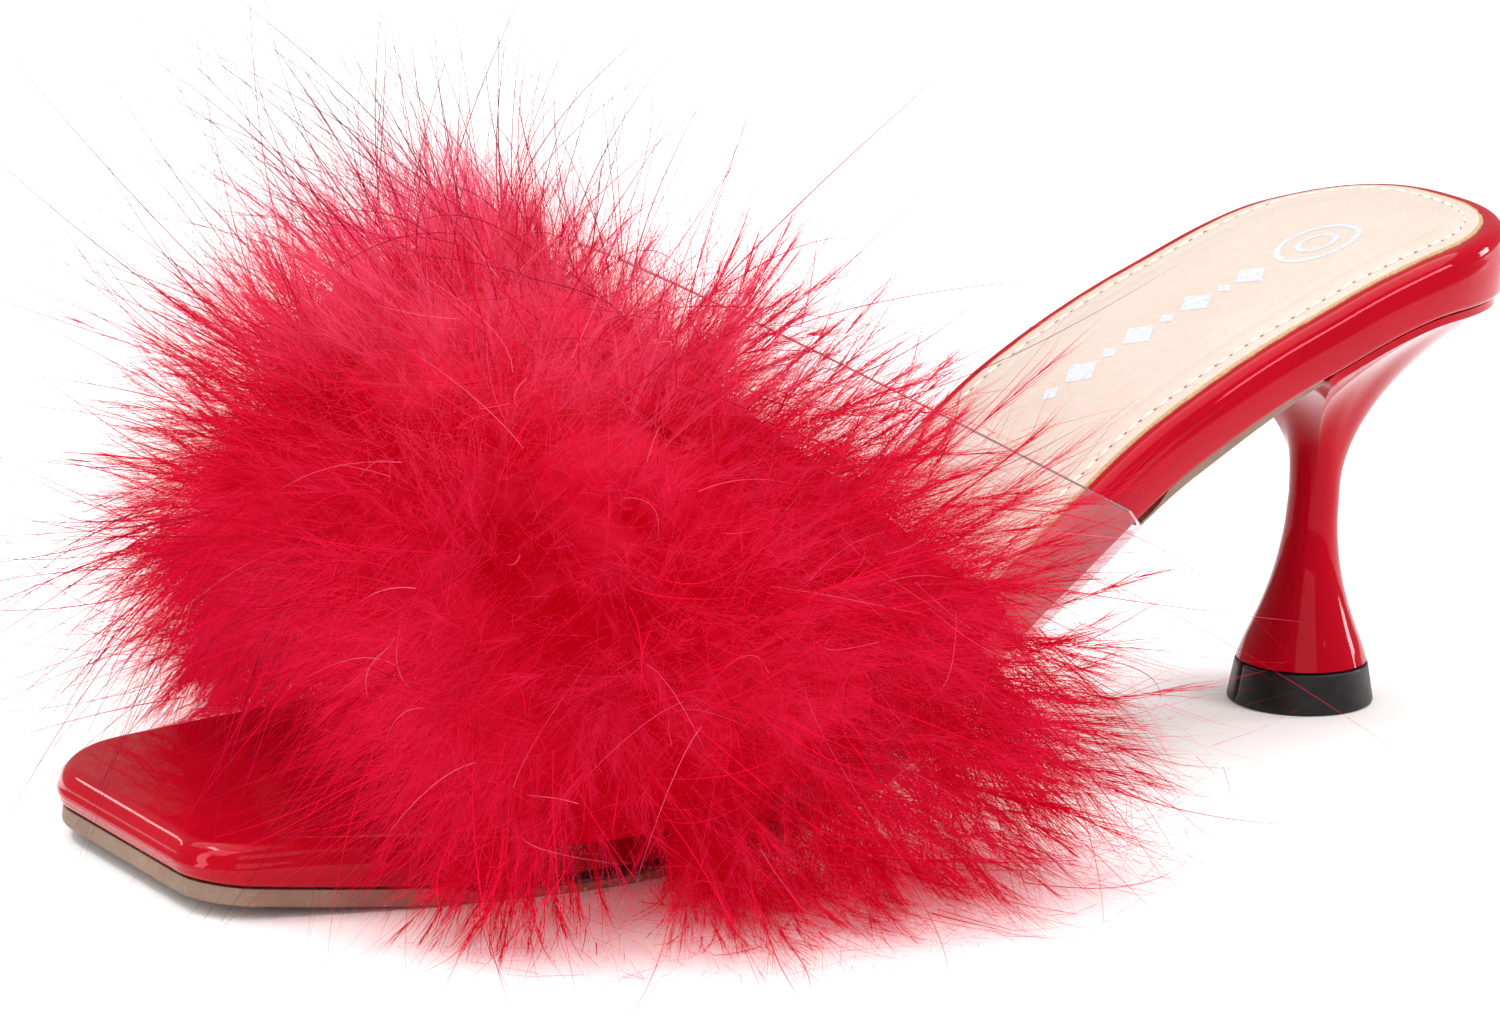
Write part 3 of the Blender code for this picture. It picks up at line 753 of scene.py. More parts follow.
def make_heel():
    front_x = OUTSOLE_REAR_X - GAP
    inset = HEEL_INSET + BOARD_BOTTOM_ROUND / 2
    pair = []
    for sign in (1, -1):
        points = inset_half(half_outline(sign, None, front_x), inset, sign, True)
        points[-1][0] = front_x
        pair.append(points)
    ring = ring_of(*pair, HEEL_COLUMNS, True)
    centre = np.array((-NECK_SETBACK, 0.0))
    turns = np.arctan2(ring[:, 1] - centre[1], ring[:, 0] - centre[0])
    forward = np.cos(turns)
    ends = np.where(forward > 0, FLARE_FRONT_POWER, FLARE_BACK_POWER)
    lateness = FLARE_SIDE_POWER + (ends - FLARE_SIDE_POWER) * forward ** 2
    around = np.stack([forward, np.sin(turns), np.zeros_like(turns)], axis=1)
    rim = lifted(ring[:, 0], ring[:, 1], -GAP - HEEL_WALL)
    neck = NECK_RADIUS * around + (*centre, NECK_HEIGHT)
    base_z = TIP_HEIGHT + GAP
    rings = []
    for place in np.linspace(0, 1, SHAFT_STEPS + 1)[:-1] ** SHAFT_CROWDING:
        radius = NECK_RADIUS + (HEEL_BASE_RADIUS - NECK_RADIUS) * shaft_at(place)
        middle = centre * place ** NECK_SWEEP_POWER
        rings.append(radius * around + (*middle, base_z + (NECK_HEIGHT - base_z) * place))
    for height in 1 - (1 - np.linspace(0, 1, FLARE_STEPS + 1)) ** FLARE_CROWDING:
        out = (height ** lateness)[:, None]
        rings.append(neck + (rim - neck) * np.hstack([out, out, np.full_like(out, height)]))
    rings.append(lifted(ring[:, 0], ring[:, 1], -GAP))
    count, half = len(ring), len(pair[0])
    faces = stack_faces(len(rings), count, clockwise=True)
    faces.append(list(range(count)))
    top = (len(rings) - 1) * count
    left = top + np.arange(half)
    right = np.concatenate([[top], top + count - np.arange(1, half)])
    for k in range(half - 2):
        face = [left[k], right[k], right[k + 1], left[k + 1]]
        faces.append(face[1:] if k == 0 else face)
    breast = (top + half - 1 + np.arange(HEEL_COLUMNS))[::-1]
    faces.append([left[-2], right[-2], right[-1], *breast])
    return add_mesh("heel_fine", np.vstack(rings), faces, [lacquer])


STITCH_INSET = 0.0029
STITCH_PITCH = 0.0031
STITCHES_SHORT = 0.002
STITCH_SIZE = np.array((0.00116, 0.00032, 0.00030))
STITCH_PROUD = 0.00006
HOLE_SIZE = np.array((0.00036, 0.00032, 0.00007))
BALL_RINGS, BALL_SIDES = 5, 8
PAD_RISE = 0.0004
PAD_START, PAD_END = 0.0045, 0.0125
SOCK_SKIVE = 0.00095
SKIVE_START, SKIVE_END = -0.0010, 0.0062
SOCK_INNER = 0.02
SOCK_COLUMNS = 30
SOCK_WALL_ROWS = 5
FOIL_RINGS = ((0.0062, 0.0052), (0.0031, 0.0022))
FOIL_SIDES = 72
FOIL_CENTRE = np.array((-0.0010, 0.0022))
LOZENGES = 8
LOZENGE_ROW = np.array(((0.0100, 0.0012), (0.0425, -0.0030)))
LOZENGE_SIZES = ((0.0036, 0.0026), (0.0018, 0.0013))
FOIL_PROUD = 0.00004

# Depth, middle and width of the stitches' trough and of the crease inside it
SOCK_GROOVES = ((0.00026, STITCH_INSET, 0.0006), (0.00014, 0.0064, 0.0009))


def sock_top(x, inset):
    """Height of the sock's face above the board's underside, by how far in from the sock's edge it is."""
    pad = PAD_RISE * smooth(inset, PAD_START, PAD_END)
    pad = pad - SOCK_SKIVE * (1 - smooth(inset, SKIVE_START, SKIVE_END))
    dip = sum(depth * np.exp(-((inset - middle) / width) ** 2) for depth, middle, width in SOCK_GROOVES)
    return board_thickness(x) + GAP + SOCK_THICKNESS + pad - dip


def make_sock():
    """The half sock: thin and close to the board at its raw edge, fuller inside the stitches."""
    def fray(x):
        return SOCK_INSET + 0.00012 * np.sin(x * 1900) * np.sin(x * 733) + 0.00008 * np.sin(x * 4100)

    pairs = [(fray, lambda x: board_thickness(x) - GAP / 2)]
    for lift, inset in ((0.4, 0.0), (0.8, 0.00005), (0.95, 0.00015), (1.0, 0.0003)):
        pairs.append((
            lambda x, inset=inset: fray(x) + inset,
            lambda x, lift=lift: board_thickness(x) * (1 - lift) + sock_top(x, 0.0) * lift))
    for inset in np.concatenate([np.arange(0.0006, 0.0082, 0.0003), np.arange(0.0084, 0.0131, 0.0006)]):
        pairs.append((SOCK_INSET + inset, lambda x, inset=inset: sock_top(x, inset)))
    layers = [outline_layer(inset, height, None, SOCK_FRONT_X) for inset, height in pairs]
    return layered("insole_sock_fine", layers, True, [leather, raw_edge], SOCK_COLUMNS, SOCK_WALL_ROWS)


def make_foil():
    """A plain silver mark pressed on the sock: two rings and a row of lozenges."""
    turns = full_turn(FOIL_SIDES)
    circle = np.stack([np.cos(turns), np.sin(turns)], axis=1)
    verts, faces = [], []
    for outer, inner in FOIL_RINGS:
        faces.extend((np.array(stack_faces(2, len(turns))) + len(verts)).tolist())
        verts.extend(np.vstack([FOIL_CENTRE + circle * outer, FOIL_CENTRE + circle * inner]))
    start, end = LOZENGE_ROW
    row = unit(end - start)
    beside = np.array((-row[1], row[0]))
    for k, place in enumerate(np.linspace(0, 1, LOZENGES)):
        middle = start + (end - start) * place
        long, wide = LOZENGE_SIZES[k % 2]
        faces.append(len(verts) + np.array((3, 2, 1, 0)))
        for step in (beside * long, row * wide, -beside * long, -row * wide):
            verts.append(middle + step)
    x, y = np.array(verts).T
    add_mesh("sock_foil", lifted(x, y, sock_top(x, SOCK_INNER) + FOIL_PROUD), faces, [foil])


def make_stitches():
    """Cream stitches in the sock's trough with a pin hole at each end, as two joined meshes; each pin hole
    is a flat dark dot of painted shade.
    """
    rise = np.linspace(0, np.pi, BALL_RINGS + 1)[:, None]
    turn = full_turn(BALL_SIDES)[None]
    ball = (np.cos(rise), np.sin(rise) * np.cos(turn), np.sin(rise) * np.sin(turn))
    ball = np.stack(np.broadcast_arrays(*ball), axis=-1).reshape(-1, 3)
    ball_faces = np.array(stack_faces(BALL_RINGS + 1, BALL_SIDES))
    path = []
    for sign, order in ((1, slice(None, None, -1)), (-1, slice(1, None))):
        outline = half_outline(sign, None, SOCK_FRONT_X - STITCHES_SHORT)
        points = inset_half(outline, SOCK_INSET + STITCH_INSET, sign, True)
        path.append(lifted(points[:, 0], points[:, 1], sock_top(points[:, 0], STITCH_INSET))[order])
    path = np.vstack(path)
    length = np.concatenate([[0], np.cumsum(np.linalg.norm(np.diff(path, axis=0), axis=1))])

    def at(distance):
        return np.array([np.interp(distance, length, path[:, k]) for k in range(3)])

    stitches, holes = [], []
    for k in range(int(length[-1] / STITCH_PITCH)):
        middle = (k + 0.5) * STITCH_PITCH
        here = at(middle)
        along = unit(at(middle + 0.0008) - at(middle - 0.0008))
        normal = unit(np.array((-slope_at(here[0], 0.001), 0.0, 1.0)))
        across = np.cross(normal, along)
        along = unit(along + across * chance.normal(0.06, 0.05))
        axes = np.array((along, np.cross(normal, along), normal))
        size = STITCH_SIZE + (chance.normal(0, 0.00006), 0, 0)
        stitches.append(here + normal * STITCH_PROUD + ball @ (axes * size[:, None]))
        holes.append(here + along * STITCH_PITCH / 2 + ball @ (axes * HOLE_SIZE[:, None]))
    for name, balls, material in (("sock_stitches", stitches, thread), ("sock_pin_holes", holes, hole_shade)):
        first = np.arange(len(balls))[:, None, None] * len(ball)
        add_mesh(name, np.vstack(balls), (ball_faces + first).reshape(-1, 4), [material], 180)


# Band and down

VAMP_ROWS, VAMP_COLUMNS = 50, 150
FOLD_STEPS = 9
BARE_UNTIL, COVERED_FROM = 0.20, 0.32
CUT_POINTS = 121
CUT_SIDES = 8
CUT_RADIUS = 0.00016
CUT_END_SHARE = 0.56


def band_points(along, across):
    """Points of the band's inner face; along is 0 at the topline and 1 at the toe edge, across 0 to 1."""
    foot_x = BAND_REAR_X + (BAND_FRONT_X - BAND_REAR_X) * along
    crest_x = BAND_REAR_CREST_X + (BAND_FRONT_CREST_X - BAND_REAR_CREST_X) * along
    crest_z = BAND_REAR_CREST_Z + (BAND_FRONT_CREST_Z - BAND_REAR_CREST_Z) * along
    left = lifted(foot_x, side(foot_x, 1) + BAND_SIDE_CLEARANCE, BAND_SPRING_HEIGHT)
    right = lifted(foot_x, side(foot_x, -1) - BAND_SIDE_CLEARANCE, BAND_SPRING_HEIGHT)
    turn = np.pi * across
    rise = np.clip(np.sin(turn), 0, 1) ** BAND_ARCH_POWER
    swell = BAND_SIDE_FULLNESS * np.sin(2 * turn) * np.sin(turn)
    middle = (left + right) / 2
    y = middle[..., 1] + (left[..., 1] - middle[..., 1]) * np.cos(turn) + swell
    x = middle[..., 0] + (crest_x - middle[..., 0]) * rise
    z = middle[..., 2] + (crest_z - middle[..., 2]) * rise
    return np.stack([x, y, z], axis=-1)


def make_vamp():
    """The film band; it knows where it folds under the board and where the down leaves it bare, the masks of
    its painted glow and painted room reflection.
    """
    stops = [(-BAND_MARGIN, -GAP)]
    for turn in np.linspace(0, np.pi / 2, FOLD_STEPS):
        reach = BOARD_BOTTOM_ROUND + GAP + (BAND_SIDE_CLEARANCE - GAP) * np.sin(turn)
        stops.append((reach * np.sin(turn) - BOARD_BOTTOM_ROUND, BOARD_BOTTOM_ROUND - reach * np.cos(turn)))
    inner = []
    for along in np.linspace(0, 1, VAMP_ROWS + 1):
        foot_x = BAND_REAR_X + (BAND_FRONT_X - BAND_REAR_X) * along
        left = [lifted(foot_x, side(foot_x, 1) + out, height) for out, height in stops]
        right = [lifted(foot_x, side(foot_x, -1) - out, height) for out, height in stops]
        arch = band_points(np.full(VAMP_COLUMNS + 1, along), np.linspace(0, 1, VAMP_COLUMNS + 1))
        inner.append(np.vstack([left, arch, right[::-1]]))
    inner = np.array(inner)
    vamp = shell("vamp_fine", inner, inner + grid_normals(inner) * BAND_WALL, film, False, 60)
    fold = np.zeros(inner.shape[:2])
    fold[:, :FOLD_STEPS] = 1
    fold[:, -FOLD_STEPS:] = 1
    covered = smooth(np.linspace(0, 1, VAMP_ROWS + 1), BARE_UNTIL, COVERED_FROM)
    bare = 1 - covered[:, None] + np.zeros_like(fold)
    add_values(vamp, "fold", "FLOAT", [fold, fold])
    add_values(vamp, "bare", "FLOAT", [bare, bare])
    return vamp


def make_cut_edge():
    """The dark line of light caught in the film's cut topline."""
    path = band_points(np.zeros(CUT_POINTS), np.linspace(0, CUT_END_SHARE, CUT_POINTS))
    path = path + unit(path - path.mean(axis=0)) * BAND_WALL / 2
    along = unit(np.gradient(path, axis=0))
    side_way = unit(np.cross(along, (-1.0, 0.0, 0.6)))
    other = np.cross(along, side_way)
    turns = full_turn(CUT_SIDES)[:, None]
    verts = path[:, None] + CUT_RADIUS * (side_way[:, None] * np.cos(turns) + other[:, None] * np.sin(turns))
    add_mesh("film_cut_edge", verts.reshape(-1, 3), tube_faces(CUT_POINTS, CUT_SIDES), [cut_film])


BOA_ROWS = 3.5
CREST_TRIM = 0.27
REAR_LEAN = 0.20
NUDGE = 0.004
PAST_CAD = np.array((0.0130, 0.0120, 0.0115))
LOW_LIMIT = np.array(cad_low) - PAST_CAD
HIGH_LIMIT = np.array(cad_high) + PAST_CAD
LOW_LIMIT[2] = 0.0004


def down_base(along, across, parted=0.0):
    """Root, outward way, reach, band normal and toeward way of the down at shares along and across the
    trimming. parted is how strongly the down of each sewn row falls away from the row's middle."""

    def point(a, c):
        return band_points(DOWN_REAR_SHARE + (1 - DOWN_REAR_SHARE) * a, c)

    low_a, high_a = np.clip(along - NUDGE, 0, 1), np.clip(along + NUDGE, 0, 1)
    low_c, high_c = np.clip(across - NUDGE, 0.002, 0.998), np.clip(across + NUDGE, 0.002, 0.998)
    toeward = unit(point(high_a, across) - point(low_a, across))
    normal = unit(np.cross(point(along, high_c) - point(along, low_c), toeward))
    root = point(along, across) + normal * (BAND_WALL + 2 * GAP)
    crest = np.sin(np.pi * across) ** 2
    reach = DOWN_REACH * (reach_side(along) * (1 - crest) + reach_crest(along) * crest)
    reach = reach * (1 - CREST_TRIM * smooth(across, 0.10, 0.42))
    lean = lean_side(along) * (1 - crest) + lean_crest(along) * crest
    part = np.sin(2 * np.pi * (BOA_ROWS * along + 0.10 * np.sin(11 * across)))
    swing = np.sin(2 * np.pi * (6.0 * across + 0.7 * np.sin(7.0 * along)))
    inside = smooth(np.minimum(along, 1 - along), 0.0, 0.18)
    lean = lean + parted * inside * part + REAR_LEAN * (1 - smooth(along, 0.0, 0.30))
    sideways = np.cross(toeward, normal) * (swing * parted * 0.5)[..., None]
    droop = UP * DOWN_DROOP_SHARE * ((1 - crest) ** 2)[..., None]
    return root, unit(normal + toeward * lean[..., None] + sideways - droop), reach, normal, toeward


def strands(name, root, way, bend, length, width, facing, segments, tone, material, outward=None):
    """Thin tapered ribbons from arrays: each leaves its root along way, swings by bend and faces facing.
    With outward given, they are lit as the surface of the mass rather than one by one."""
    count = len(root)
    way = unit(way)
    flat = unit(np.cross(way, facing))
    lost = np.linalg.norm(np.cross(way, facing), axis=1) < 0.05
    flat[lost] = unit(np.cross(way[lost], (0.3, 0.8, 0.5)))
    if outward is not None:
        flat *= np.where(np.sum(np.cross(flat, way) * outward, axis=1) < 0, -1.0, 1.0)[:, None]
    root = np.clip(root, LOW_LIMIT, HIGH_LIMIT)
    end = (way + bend) * length[:, None]
    room = np.where(end > 0, HIGH_LIMIT - root, root - LOW_LIMIT) / np.maximum(np.abs(end), 1e-6)
    length = length * np.clip(room.min(axis=1), 0.15, 1.0)
    corners = 2 * segments + 1
    verts = np.zeros((count, corners, 3), np.float32)
    tones = np.zeros((count, corners), np.float32)
    for k, t in enumerate(np.linspace(0, 1, segments + 1)):
        point = np.clip(root + (way * t + bend * t * t) * length[:, None], LOW_LIMIT, HIGH_LIMIT)
        half = flat * (width * (1 - t) ** 0.7 / 2)[:, None]
        verts[:, 2 * k] = point - half
        if k < segments:
            verts[:, 2 * k + 1] = point + half
        tones[:, 2 * k:2 * k + 2] = (tone[0] + (tone[1] - tone[0]) * t)[:, None]
    faces = []
    for k in range(0, corners - 3, 2):
        faces += [(k, k + 1, k + 3), (k, k + 3, k + 2)]
    faces.append((corners - 3, corners - 2, corners - 1))
    first = np.arange(count, dtype=np.int32)[:, None, None] * corners
    index = (np.array(faces, np.int32) + first).reshape(-1)
    mesh = bpy.data.meshes.new(name)
    mesh.vertices.add(count * corners)
    mesh.vertices.foreach_set("co", verts.reshape(-1))
    mesh.loops.add(len(index))
    mesh.loops.foreach_set("vertex_index", index)
    mesh.polygons.add(len(index) // 3)
    mesh.polygons.foreach_set("loop_start", np.arange(0, len(index), 3, dtype=np.int32))
    mesh.update(calc_edges=True)
    mesh.shade_smooth()
    mesh.materials.append(material)
    thing = add_object(name, mesh)
    add_values(thing, "tone", "FLOAT", tones)
    if outward is not None:
        soft = unit(outward * 0.88 + np.cross(flat, way) * 0.12)
        mesh.normals_split_custom_set_from_vertices(np.repeat(soft, corners, axis=0))
    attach(thing, "root")


LIE_ACROSS = 0.19
LIE_ALONG = 0.10
CORE_ROWS, CORE_COLUMNS = 90, 170
CORE_FLOOR = 0.0030


def make_down_core():
    """The closed body of the down under its barbs, lumpy like packed fluff."""
    places = np.linspace(0.01, 1.0, CORE_ROWS + 1), np.linspace(0.01, 0.97, CORE_COLUMNS + 1)
    along, across = np.meshgrid(*places, indexing="ij")
    root, way, reach = down_base(along, across, 0.15)[:3]
    edge = np.minimum(np.minimum(along * 3.0, (1 - along) * 2.2), np.minimum(across, 1 - across) * 6.0)
    lumps = np.sin(along * 29 + across * 12) * np.sin(across * 43 - along * 9)
    lumps = lumps + 0.6 * np.sin(along * 53 - across * 31) * np.sin(across * 88 + along * 17)
    depth = reach * (0.01 + 0.52 * smooth(edge, 0, 0.8) + 0.030 * lumps * smooth(edge, 0, 0.4))
    outer = root + way * depth[..., None]
    outer[..., 2] = np.maximum(outer[..., 2], CORE_FLOOR)
    core = shell("down_core", root, outer, body_red, True, 180)
    # Painted shade and light on the lumps: the outer face's tone drops in their hollows and rises on their
    # crowns
    add_values(core, "tone", "FLOAT", [np.zeros_like(lumps), 0.08 + 0.07 * lumps])
    lie = np.stack([across * LIE_ACROSS, along * LIE_ALONG, np.zeros_like(along)], axis=-1)
    add_values(core, "lie", "FLOAT_VECTOR", [lie, lie])
    return core


SCATTER_STEPS = np.array((0.7548776662466927, 0.5698402909980532))
SCATTER_MARGIN = 0.01


def scatter(count):
    """Even but irregular places along and across the trimming."""
    spots = (0.5 + np.arange(count)[:, None] * SCATTER_STEPS) % 1
    return (SCATTER_MARGIN + (1 - 2 * SCATTER_MARGIN) * spots).T


def any_way(count):
    return unit(chance.normal(size=(count, 3)))


def stray(spread, *counts):
    """Small random steps in every direction."""
    return chance.normal(0, spread, (*counts, 3))


TUFTS = 170
TUFT_PLACES = scatter(TUFTS)
TUFT_SWAY = stray(0.36, TUFTS)
TUFT_REACH = chance.uniform(0.76, 1.06, TUFTS)
TUFT_TONE = chance.normal(0.04, 0.15, TUFTS)


def tufts_of(root):
    """The tuft each root belongs to, and the step from the root to the tuft's middle."""
    middle = down_base(*TUFT_PLACES)[0]
    tuft = np.argmin(np.linalg.norm(root[:, None] - middle[None], axis=2), axis=1)
    return tuft, middle[tuft] - root


def make_plumes(plumes, barbs, pieces):
    """Small downy feathers: each has a curved shaft, and barbs fan off both its sides."""
    along, across = scatter(plumes)
    pick = chance.random(plumes)
    low_side, front = pick < 0.13, pick > 0.76
    along = np.where(low_side, 0.03 + 0.77 * along, np.where(front, 0.84 + 0.16 * along, along))
    across = np.where(low_side, 0.01 + 0.13 * across, np.where(front, 0.16 + 0.83 * across, across))
    root, way, reach, normal = down_base(along, across, 0.80)[:4]
    tuft, pull = tufts_of(root)
    way = unit(way + TUFT_SWAY[tuft] + pull / reach[:, None] * 0.55 + stray(0.13, plumes))
    drop = np.where(low_side, 0.25, 0.0) * chance.uniform(0.0, 1.6, plumes)
    hang = np.where(front, 1.5 * chance.uniform(0.0, 1.0, plumes) ** 2, 0.0)
    way = unit(way - UP * (drop + hang)[:, None])
    reach = reach * TUFT_REACH[tuft] * chance.uniform(0.78, 1.0, plumes)
    bend = stray(0.14, plumes) - UP * 0.04
    plane = unit(np.cross(way, any_way(plumes)))
    tone = TUFT_TONE[tuft] + chance.normal(0.0, 0.05, plumes)
    place = np.sort(0.26 + 0.68 * chance.random((plumes, barbs)) ** 0.85, axis=1)
    hand = np.where(np.arange(barbs) % 2 == 0, 1.0, -1.0)
    swung = way[:, None] * place[..., None] + bend[:, None] * place[..., None] ** 2
    shaft = root[:, None] + swung * reach[:, None, None]
    ahead = unit(way[:, None] + 2 * bend[:, None] * place[..., None])
    out = plane[:, None] * hand[None, :, None] + stray(0.32, plumes, barbs)
    out = unit(out - ahead * np.sum(out * ahead, axis=-1, keepdims=True))
    spread = np.radians(34) * (1 - place) + np.radians(9) * place
    spread = spread * chance.uniform(0.6, 1.4, spread.shape)
    start = ahead * np.cos(spread)[..., None] + out * np.sin(spread)[..., None]
    length = (0.30 * reach)[:, None] * (1.0 - 0.25 * place) * chance.uniform(0.5, 1.15, place.shape)
    curl = ahead * 0.25 - out * 0.12 + stray(0.10, plumes, barbs)
    width = chance.uniform(0.00008, 0.00014, place.shape)
    facing = normal[:, None] + stray(0.4, plumes, barbs)
    # Painted shade and light: barbs near a plume's base, deep in the mass, start darker, and barbs further
    # out pale more towards their tips
    low = -0.08 + 0.40 * place ** 2 + tone[:, None]
    high = low + 0.08 + 0.32 * place ** 2 + chance.normal(0, 0.03, place.shape)
    for piece in range(pieces):
        mine = slice(piece, None, pieces)
        ways = [values[mine].reshape(-1, 3) for values in (shaft, start, curl)]
        sizes = [values[mine].reshape(-1) for values in (length, width)]
        tones = [values[mine].reshape(-1) for values in (low, high)]
        strands(
            f"down_plumes_{piece + 1}", *ways, *sizes, facing[mine].reshape(-1, 3), 2, tones, barb_red,
            np.repeat(way[mine], barbs, axis=0))


def make_fringe(count):
    """Very fine pale barbs that stand proud of the mass, so its edge fades to haze."""
    along, across = chance.uniform(0.0, 1.0, count), chance.uniform(0.0, 1.0, count)
    root, way, reach, normal = down_base(along, across, 0.6)[:4]
    way = unit(way + stray(0.22, count))
    start = root + way * (reach * chance.uniform(0.62, 1.00, count))[:, None]
    turn = unit(way + stray(0.45, count))
    length = reach * chance.uniform(0.12, 0.36, count)
    strands("down_fringe", start, turn, stray(0.25, count), length,
            chance.uniform(0.00004, 0.00007, count), normal + any_way(count), 2,
            (chance.uniform(0.0, 0.3, count), chance.uniform(0.3, 1.0, count)), barb_haze, way)


def make_over_strands(count):
    """Sparse barbs that lie over the mass, paler as a painted sheen: they stand for barbs catching the
    light.
    """
    along, across = chance.uniform(0.05, 0.97, count), chance.uniform(0.03, 0.97, count)
    root, way, reach, normal = down_base(along, across, 0.7)[:4]
    start = root + way * (reach * 0.74)[:, None]
    turn = unit(way + stray(0.50, count))
    length = reach * chance.uniform(0.20, 0.60, count)
    strands("down_over_strands", start, turn, stray(0.42, count), length,
            chance.uniform(0.00012, 0.00022, count), normal + any_way(count) * 0.3, 8,
            (chance.uniform(0.0, 0.25, count), chance.uniform(0.3, 0.8, count)), barb_sheen, way)


def make_guards(count):
    """Long dark hairs that curve well out of the mass; over its near side they stay red."""
    along, across = chance.uniform(0.0, 1.0, count), chance.uniform(0.0, 1.0, count)
    pick = chance.random(count)
    along = np.where(pick < 0.22, 0.10 * along, np.where(pick > 0.80, 0.88 + 0.12 * along, along))
    root, way, reach, normal = down_base(along, across, 0.4)[:4]
    way = unit(way + stray(0.20, count))
    root = root + way * (reach * 0.66)[:, None]
    hang = np.where(pick > 0.80, chance.uniform(0.0, 1.3, count), 0.0)
    turn = unit(way - UP * hang[:, None] + stray(0.20, count))
    length = chance.uniform(0.020, 0.064, count)
    inner = smooth(across, 0.03, 0.10) * (1 - smooth(across, 0.40, 0.50))
    inner = inner * smooth(along, 0.08, 0.20) * (1 - smooth(along, 0.88, 0.96))
    bend = stray(0.24, count)
    width = chance.uniform(0.00015, 0.00023, count)
    facing = normal + any_way(count)
    tone = chance.uniform(0.0, 0.3, count), chance.uniform(0.8, 1.4, count) * (1 - 0.85 * inner)
    strands("down_guard_hairs", root, turn, bend, length, width, facing, 12, tone, guard_dark)


def make_toe_veil(count):
    """Long fine barbs that hang from the trimming's toe edge over the board."""
    along, across = chance.uniform(0.90, 1.0, count), 0.10 + 0.80 * chance.random(count) ** 1.3
    root, _, reach, normal, toeward = down_base(along, across)
    root = root + normal * (reach * chance.uniform(0.0, 0.55, count))[:, None]
    ahead = toeward * chance.uniform(0.6, 1.4, count)[:, None]
    ahead = ahead - UP * chance.uniform(0.1, 0.8, count)[:, None]
    turn = unit(ahead + stray(0.28, count))
    strands("down_toe_veil", root, turn, stray(0.22, count), chance.uniform(0.014, 0.040, count),
            chance.uniform(0.00009, 0.00015, count), UP + normal + any_way(count) * 0.6, 4,
            (chance.uniform(0.1, 0.4, count), chance.uniform(0.4, 0.9, count)), barb_red, normal)


def make_rear_fluff(count):
    """Short soft barbs that lap over the trimming's rear edge and its toe edge."""
    rear = chance.random(count) < 0.62
    along = np.where(rear, chance.uniform(0.0, 0.07, count), chance.uniform(0.93, 1.0, count))
    across = np.where(rear, chance.uniform(0.02, 0.75, count), chance.uniform(0.25, 1.0, count))
    root, _, _, normal, toeward = down_base(along, across)
    aim = np.where(rear, -0.9, 0.9)[:, None]
    turn = unit(normal + toeward * aim * chance.uniform(0.1, 1.4, count)[:, None] + stray(0.26, count))
    turn = np.where(rear[:, None], turn, unit(turn - UP * chance.uniform(0.2, 1.4, count)[:, None]))
    length = np.where(rear, chance.uniform(0.005, 0.020, count), chance.uniform(0.008, 0.024, count))
    strands("down_edge_fluff", root, turn, stray(0.20, count), length,
            chance.uniform(0.00006, 0.00010, count), normal + any_way(count) * 0.5, 3,
            (chance.uniform(0.0, 0.3, count), chance.uniform(0.3, 0.8, count)), barb_red, normal)


footbed = make_footbed()
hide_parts("footbed")
outsole = make_outsole()
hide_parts("outsole")
tip = make_tip()
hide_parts("heel_tip")
heel = make_heel()
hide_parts("heel")
sock = make_sock()
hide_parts("insole_sock")
make_stitches()
make_foil()
make_cut_edge()
vamp = make_vamp()
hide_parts("vamp")
core = make_down_core()
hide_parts("marabou")
make_plumes(plumes=3600, barbs=52, pieces=4)
make_fringe(27000)
make_rear_fluff(9000)
make_over_strands(170)
make_guards(1500)
make_toe_veil(5200)

# Floor, light and camera

FLOOR_HALF = 6.0
CAMERA_TURNS = np.radians((148.43, 13.73, 1.18))
CAMERA_DISTANCE = 1.01823
CAMERA_TARGET = np.array((0.07707, -0.04426, 0.0300))
LENS_MM = 153.63
SENSOR_MM = 36.0
WORLD_LIGHT = 0.30
SHOE_MIDDLE = (0.09, 0.0, 0.04)
TOE_EDGE = (0.20, 0.0, 0.01)

# Name, place, target, size and watts
LIGHTS = (
    ("over", (0.10, -0.22, 1.60), SHOE_MIDDLE, (2.2, 2.2), 28.0),
    ("front_fill", (0.75, 1.45, 0.80), SHOE_MIDDLE, (1.2, 0.8), 5.0),
    ("edge_strip", (-0.47, 0.89, 0.74), TOE_EDGE, (0.70, 0.26), 7.0),
    ("front_strip", (0.55, -1.10, 0.65), TOE_EDGE, (0.50, 0.06), 0.6),
    ("corner_strip", (0.69, -0.31, 1.12), TOE_EDGE, (0.40, 0.12), 3.0),
    ("toe_side", (1.35, 0.0, 0.35), SHOE_MIDDLE, (0.30, 0.8), 4.5),
    ("toe_glow", (0.95, 0.15, 0.95), (0.17, 0.0, 0.02), (0.60, 0.60), 4.5),
    ("heel_side", (-1.16, 0.28, 0.36), (-0.03, 0.02, 0.07), (0.22, 0.45), 5.0),
)


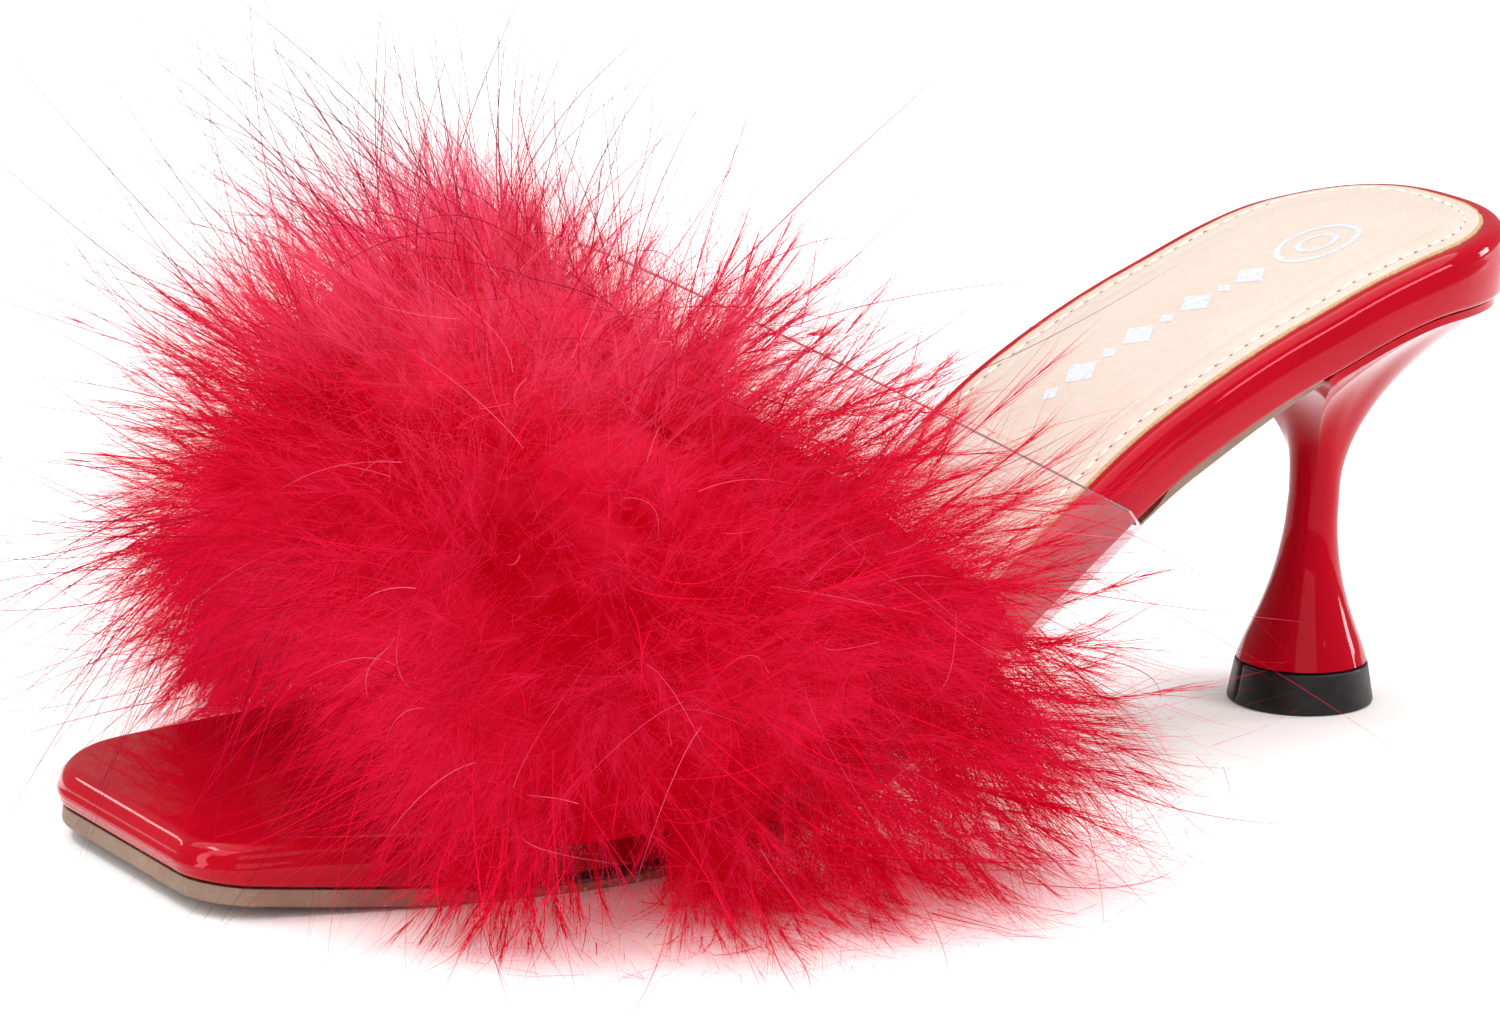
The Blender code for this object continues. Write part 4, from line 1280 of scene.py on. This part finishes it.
def make_floor():
    tree = Tree("white floor")
    colour = tree.mottle(3.0, 2.0, 0.3, 0.7, (0.99, 0.99, 0.99), (0.98, 0.98, 0.98))
    mesh = bpy.data.meshes.new("floor")
    corners = [(x * FLOOR_HALF, y * FLOOR_HALF, 0) for x, y in ((-1, -1), (1, -1), (1, 1), (-1, 1))]
    mesh.from_pydata(corners, [], [(0, 1, 2, 3)])
    mesh.materials.append(tree.principled(Base_Color=colour, Roughness=0.9, Specular_IOR_Level=0.1))
    thing = add_object("floor", mesh)


def stand(thing, right, over, back, place):
    """Stands a light or camera at place, with its back, right side and top turned the given ways."""
    matrix = np.identity(4)
    matrix[:3] = np.stack([right, over, back, place], axis=1)
    thing.matrix_world = Matrix(matrix.tolist())


def soft_light(name, place, target, size, power):
    data = bpy.data.lights.new(name, "AREA")
    data.shape = "RECTANGLE"
    data.size, data.size_y = size
    data.energy = power
    back = unit(np.array(place) - target)
    right = unit(np.cross(UP, back)) if abs(back[2]) < 0.99 else np.array((1.0, 0.0, 0.0))
    stand(add_object(name, data), right, np.cross(back, right), back, place)


def make_camera():
    azimuth, elevation, roll = CAMERA_TURNS
    flat = np.array((np.sin(azimuth), -np.cos(azimuth), 0.0))
    back = flat * np.cos(elevation) + UP * np.sin(elevation)
    right = unit(np.cross(-back, UP))
    over = np.cross(right, -back)
    right, over = right * np.cos(roll) + over * np.sin(roll), over * np.cos(roll) - right * np.sin(roll)
    data = bpy.data.cameras.new("camera")
    data.lens = LENS_MM
    data.sensor_width = SENSOR_MM
    data.sensor_fit = "HORIZONTAL"
    data.clip_start = 0.05
    camera = add_object("camera", data)
    stand(camera, right, over, back, CAMERA_TARGET + back * CAMERA_DISTANCE)
    bpy.context.scene.camera = camera


make_floor()
make_camera()
world = bpy.data.worlds.new("studio")
world.use_nodes = True
background = world.node_tree.nodes["Background"]
background.inputs["Color"].default_value = (1.0, 1.0, 1.0, 1.0)
background.inputs["Strength"].default_value = WORLD_LIGHT
bpy.context.scene.world = world
for light in LIGHTS:
    soft_light(*light)
bpy.context.scene.view_settings.view_transform = "Standard"
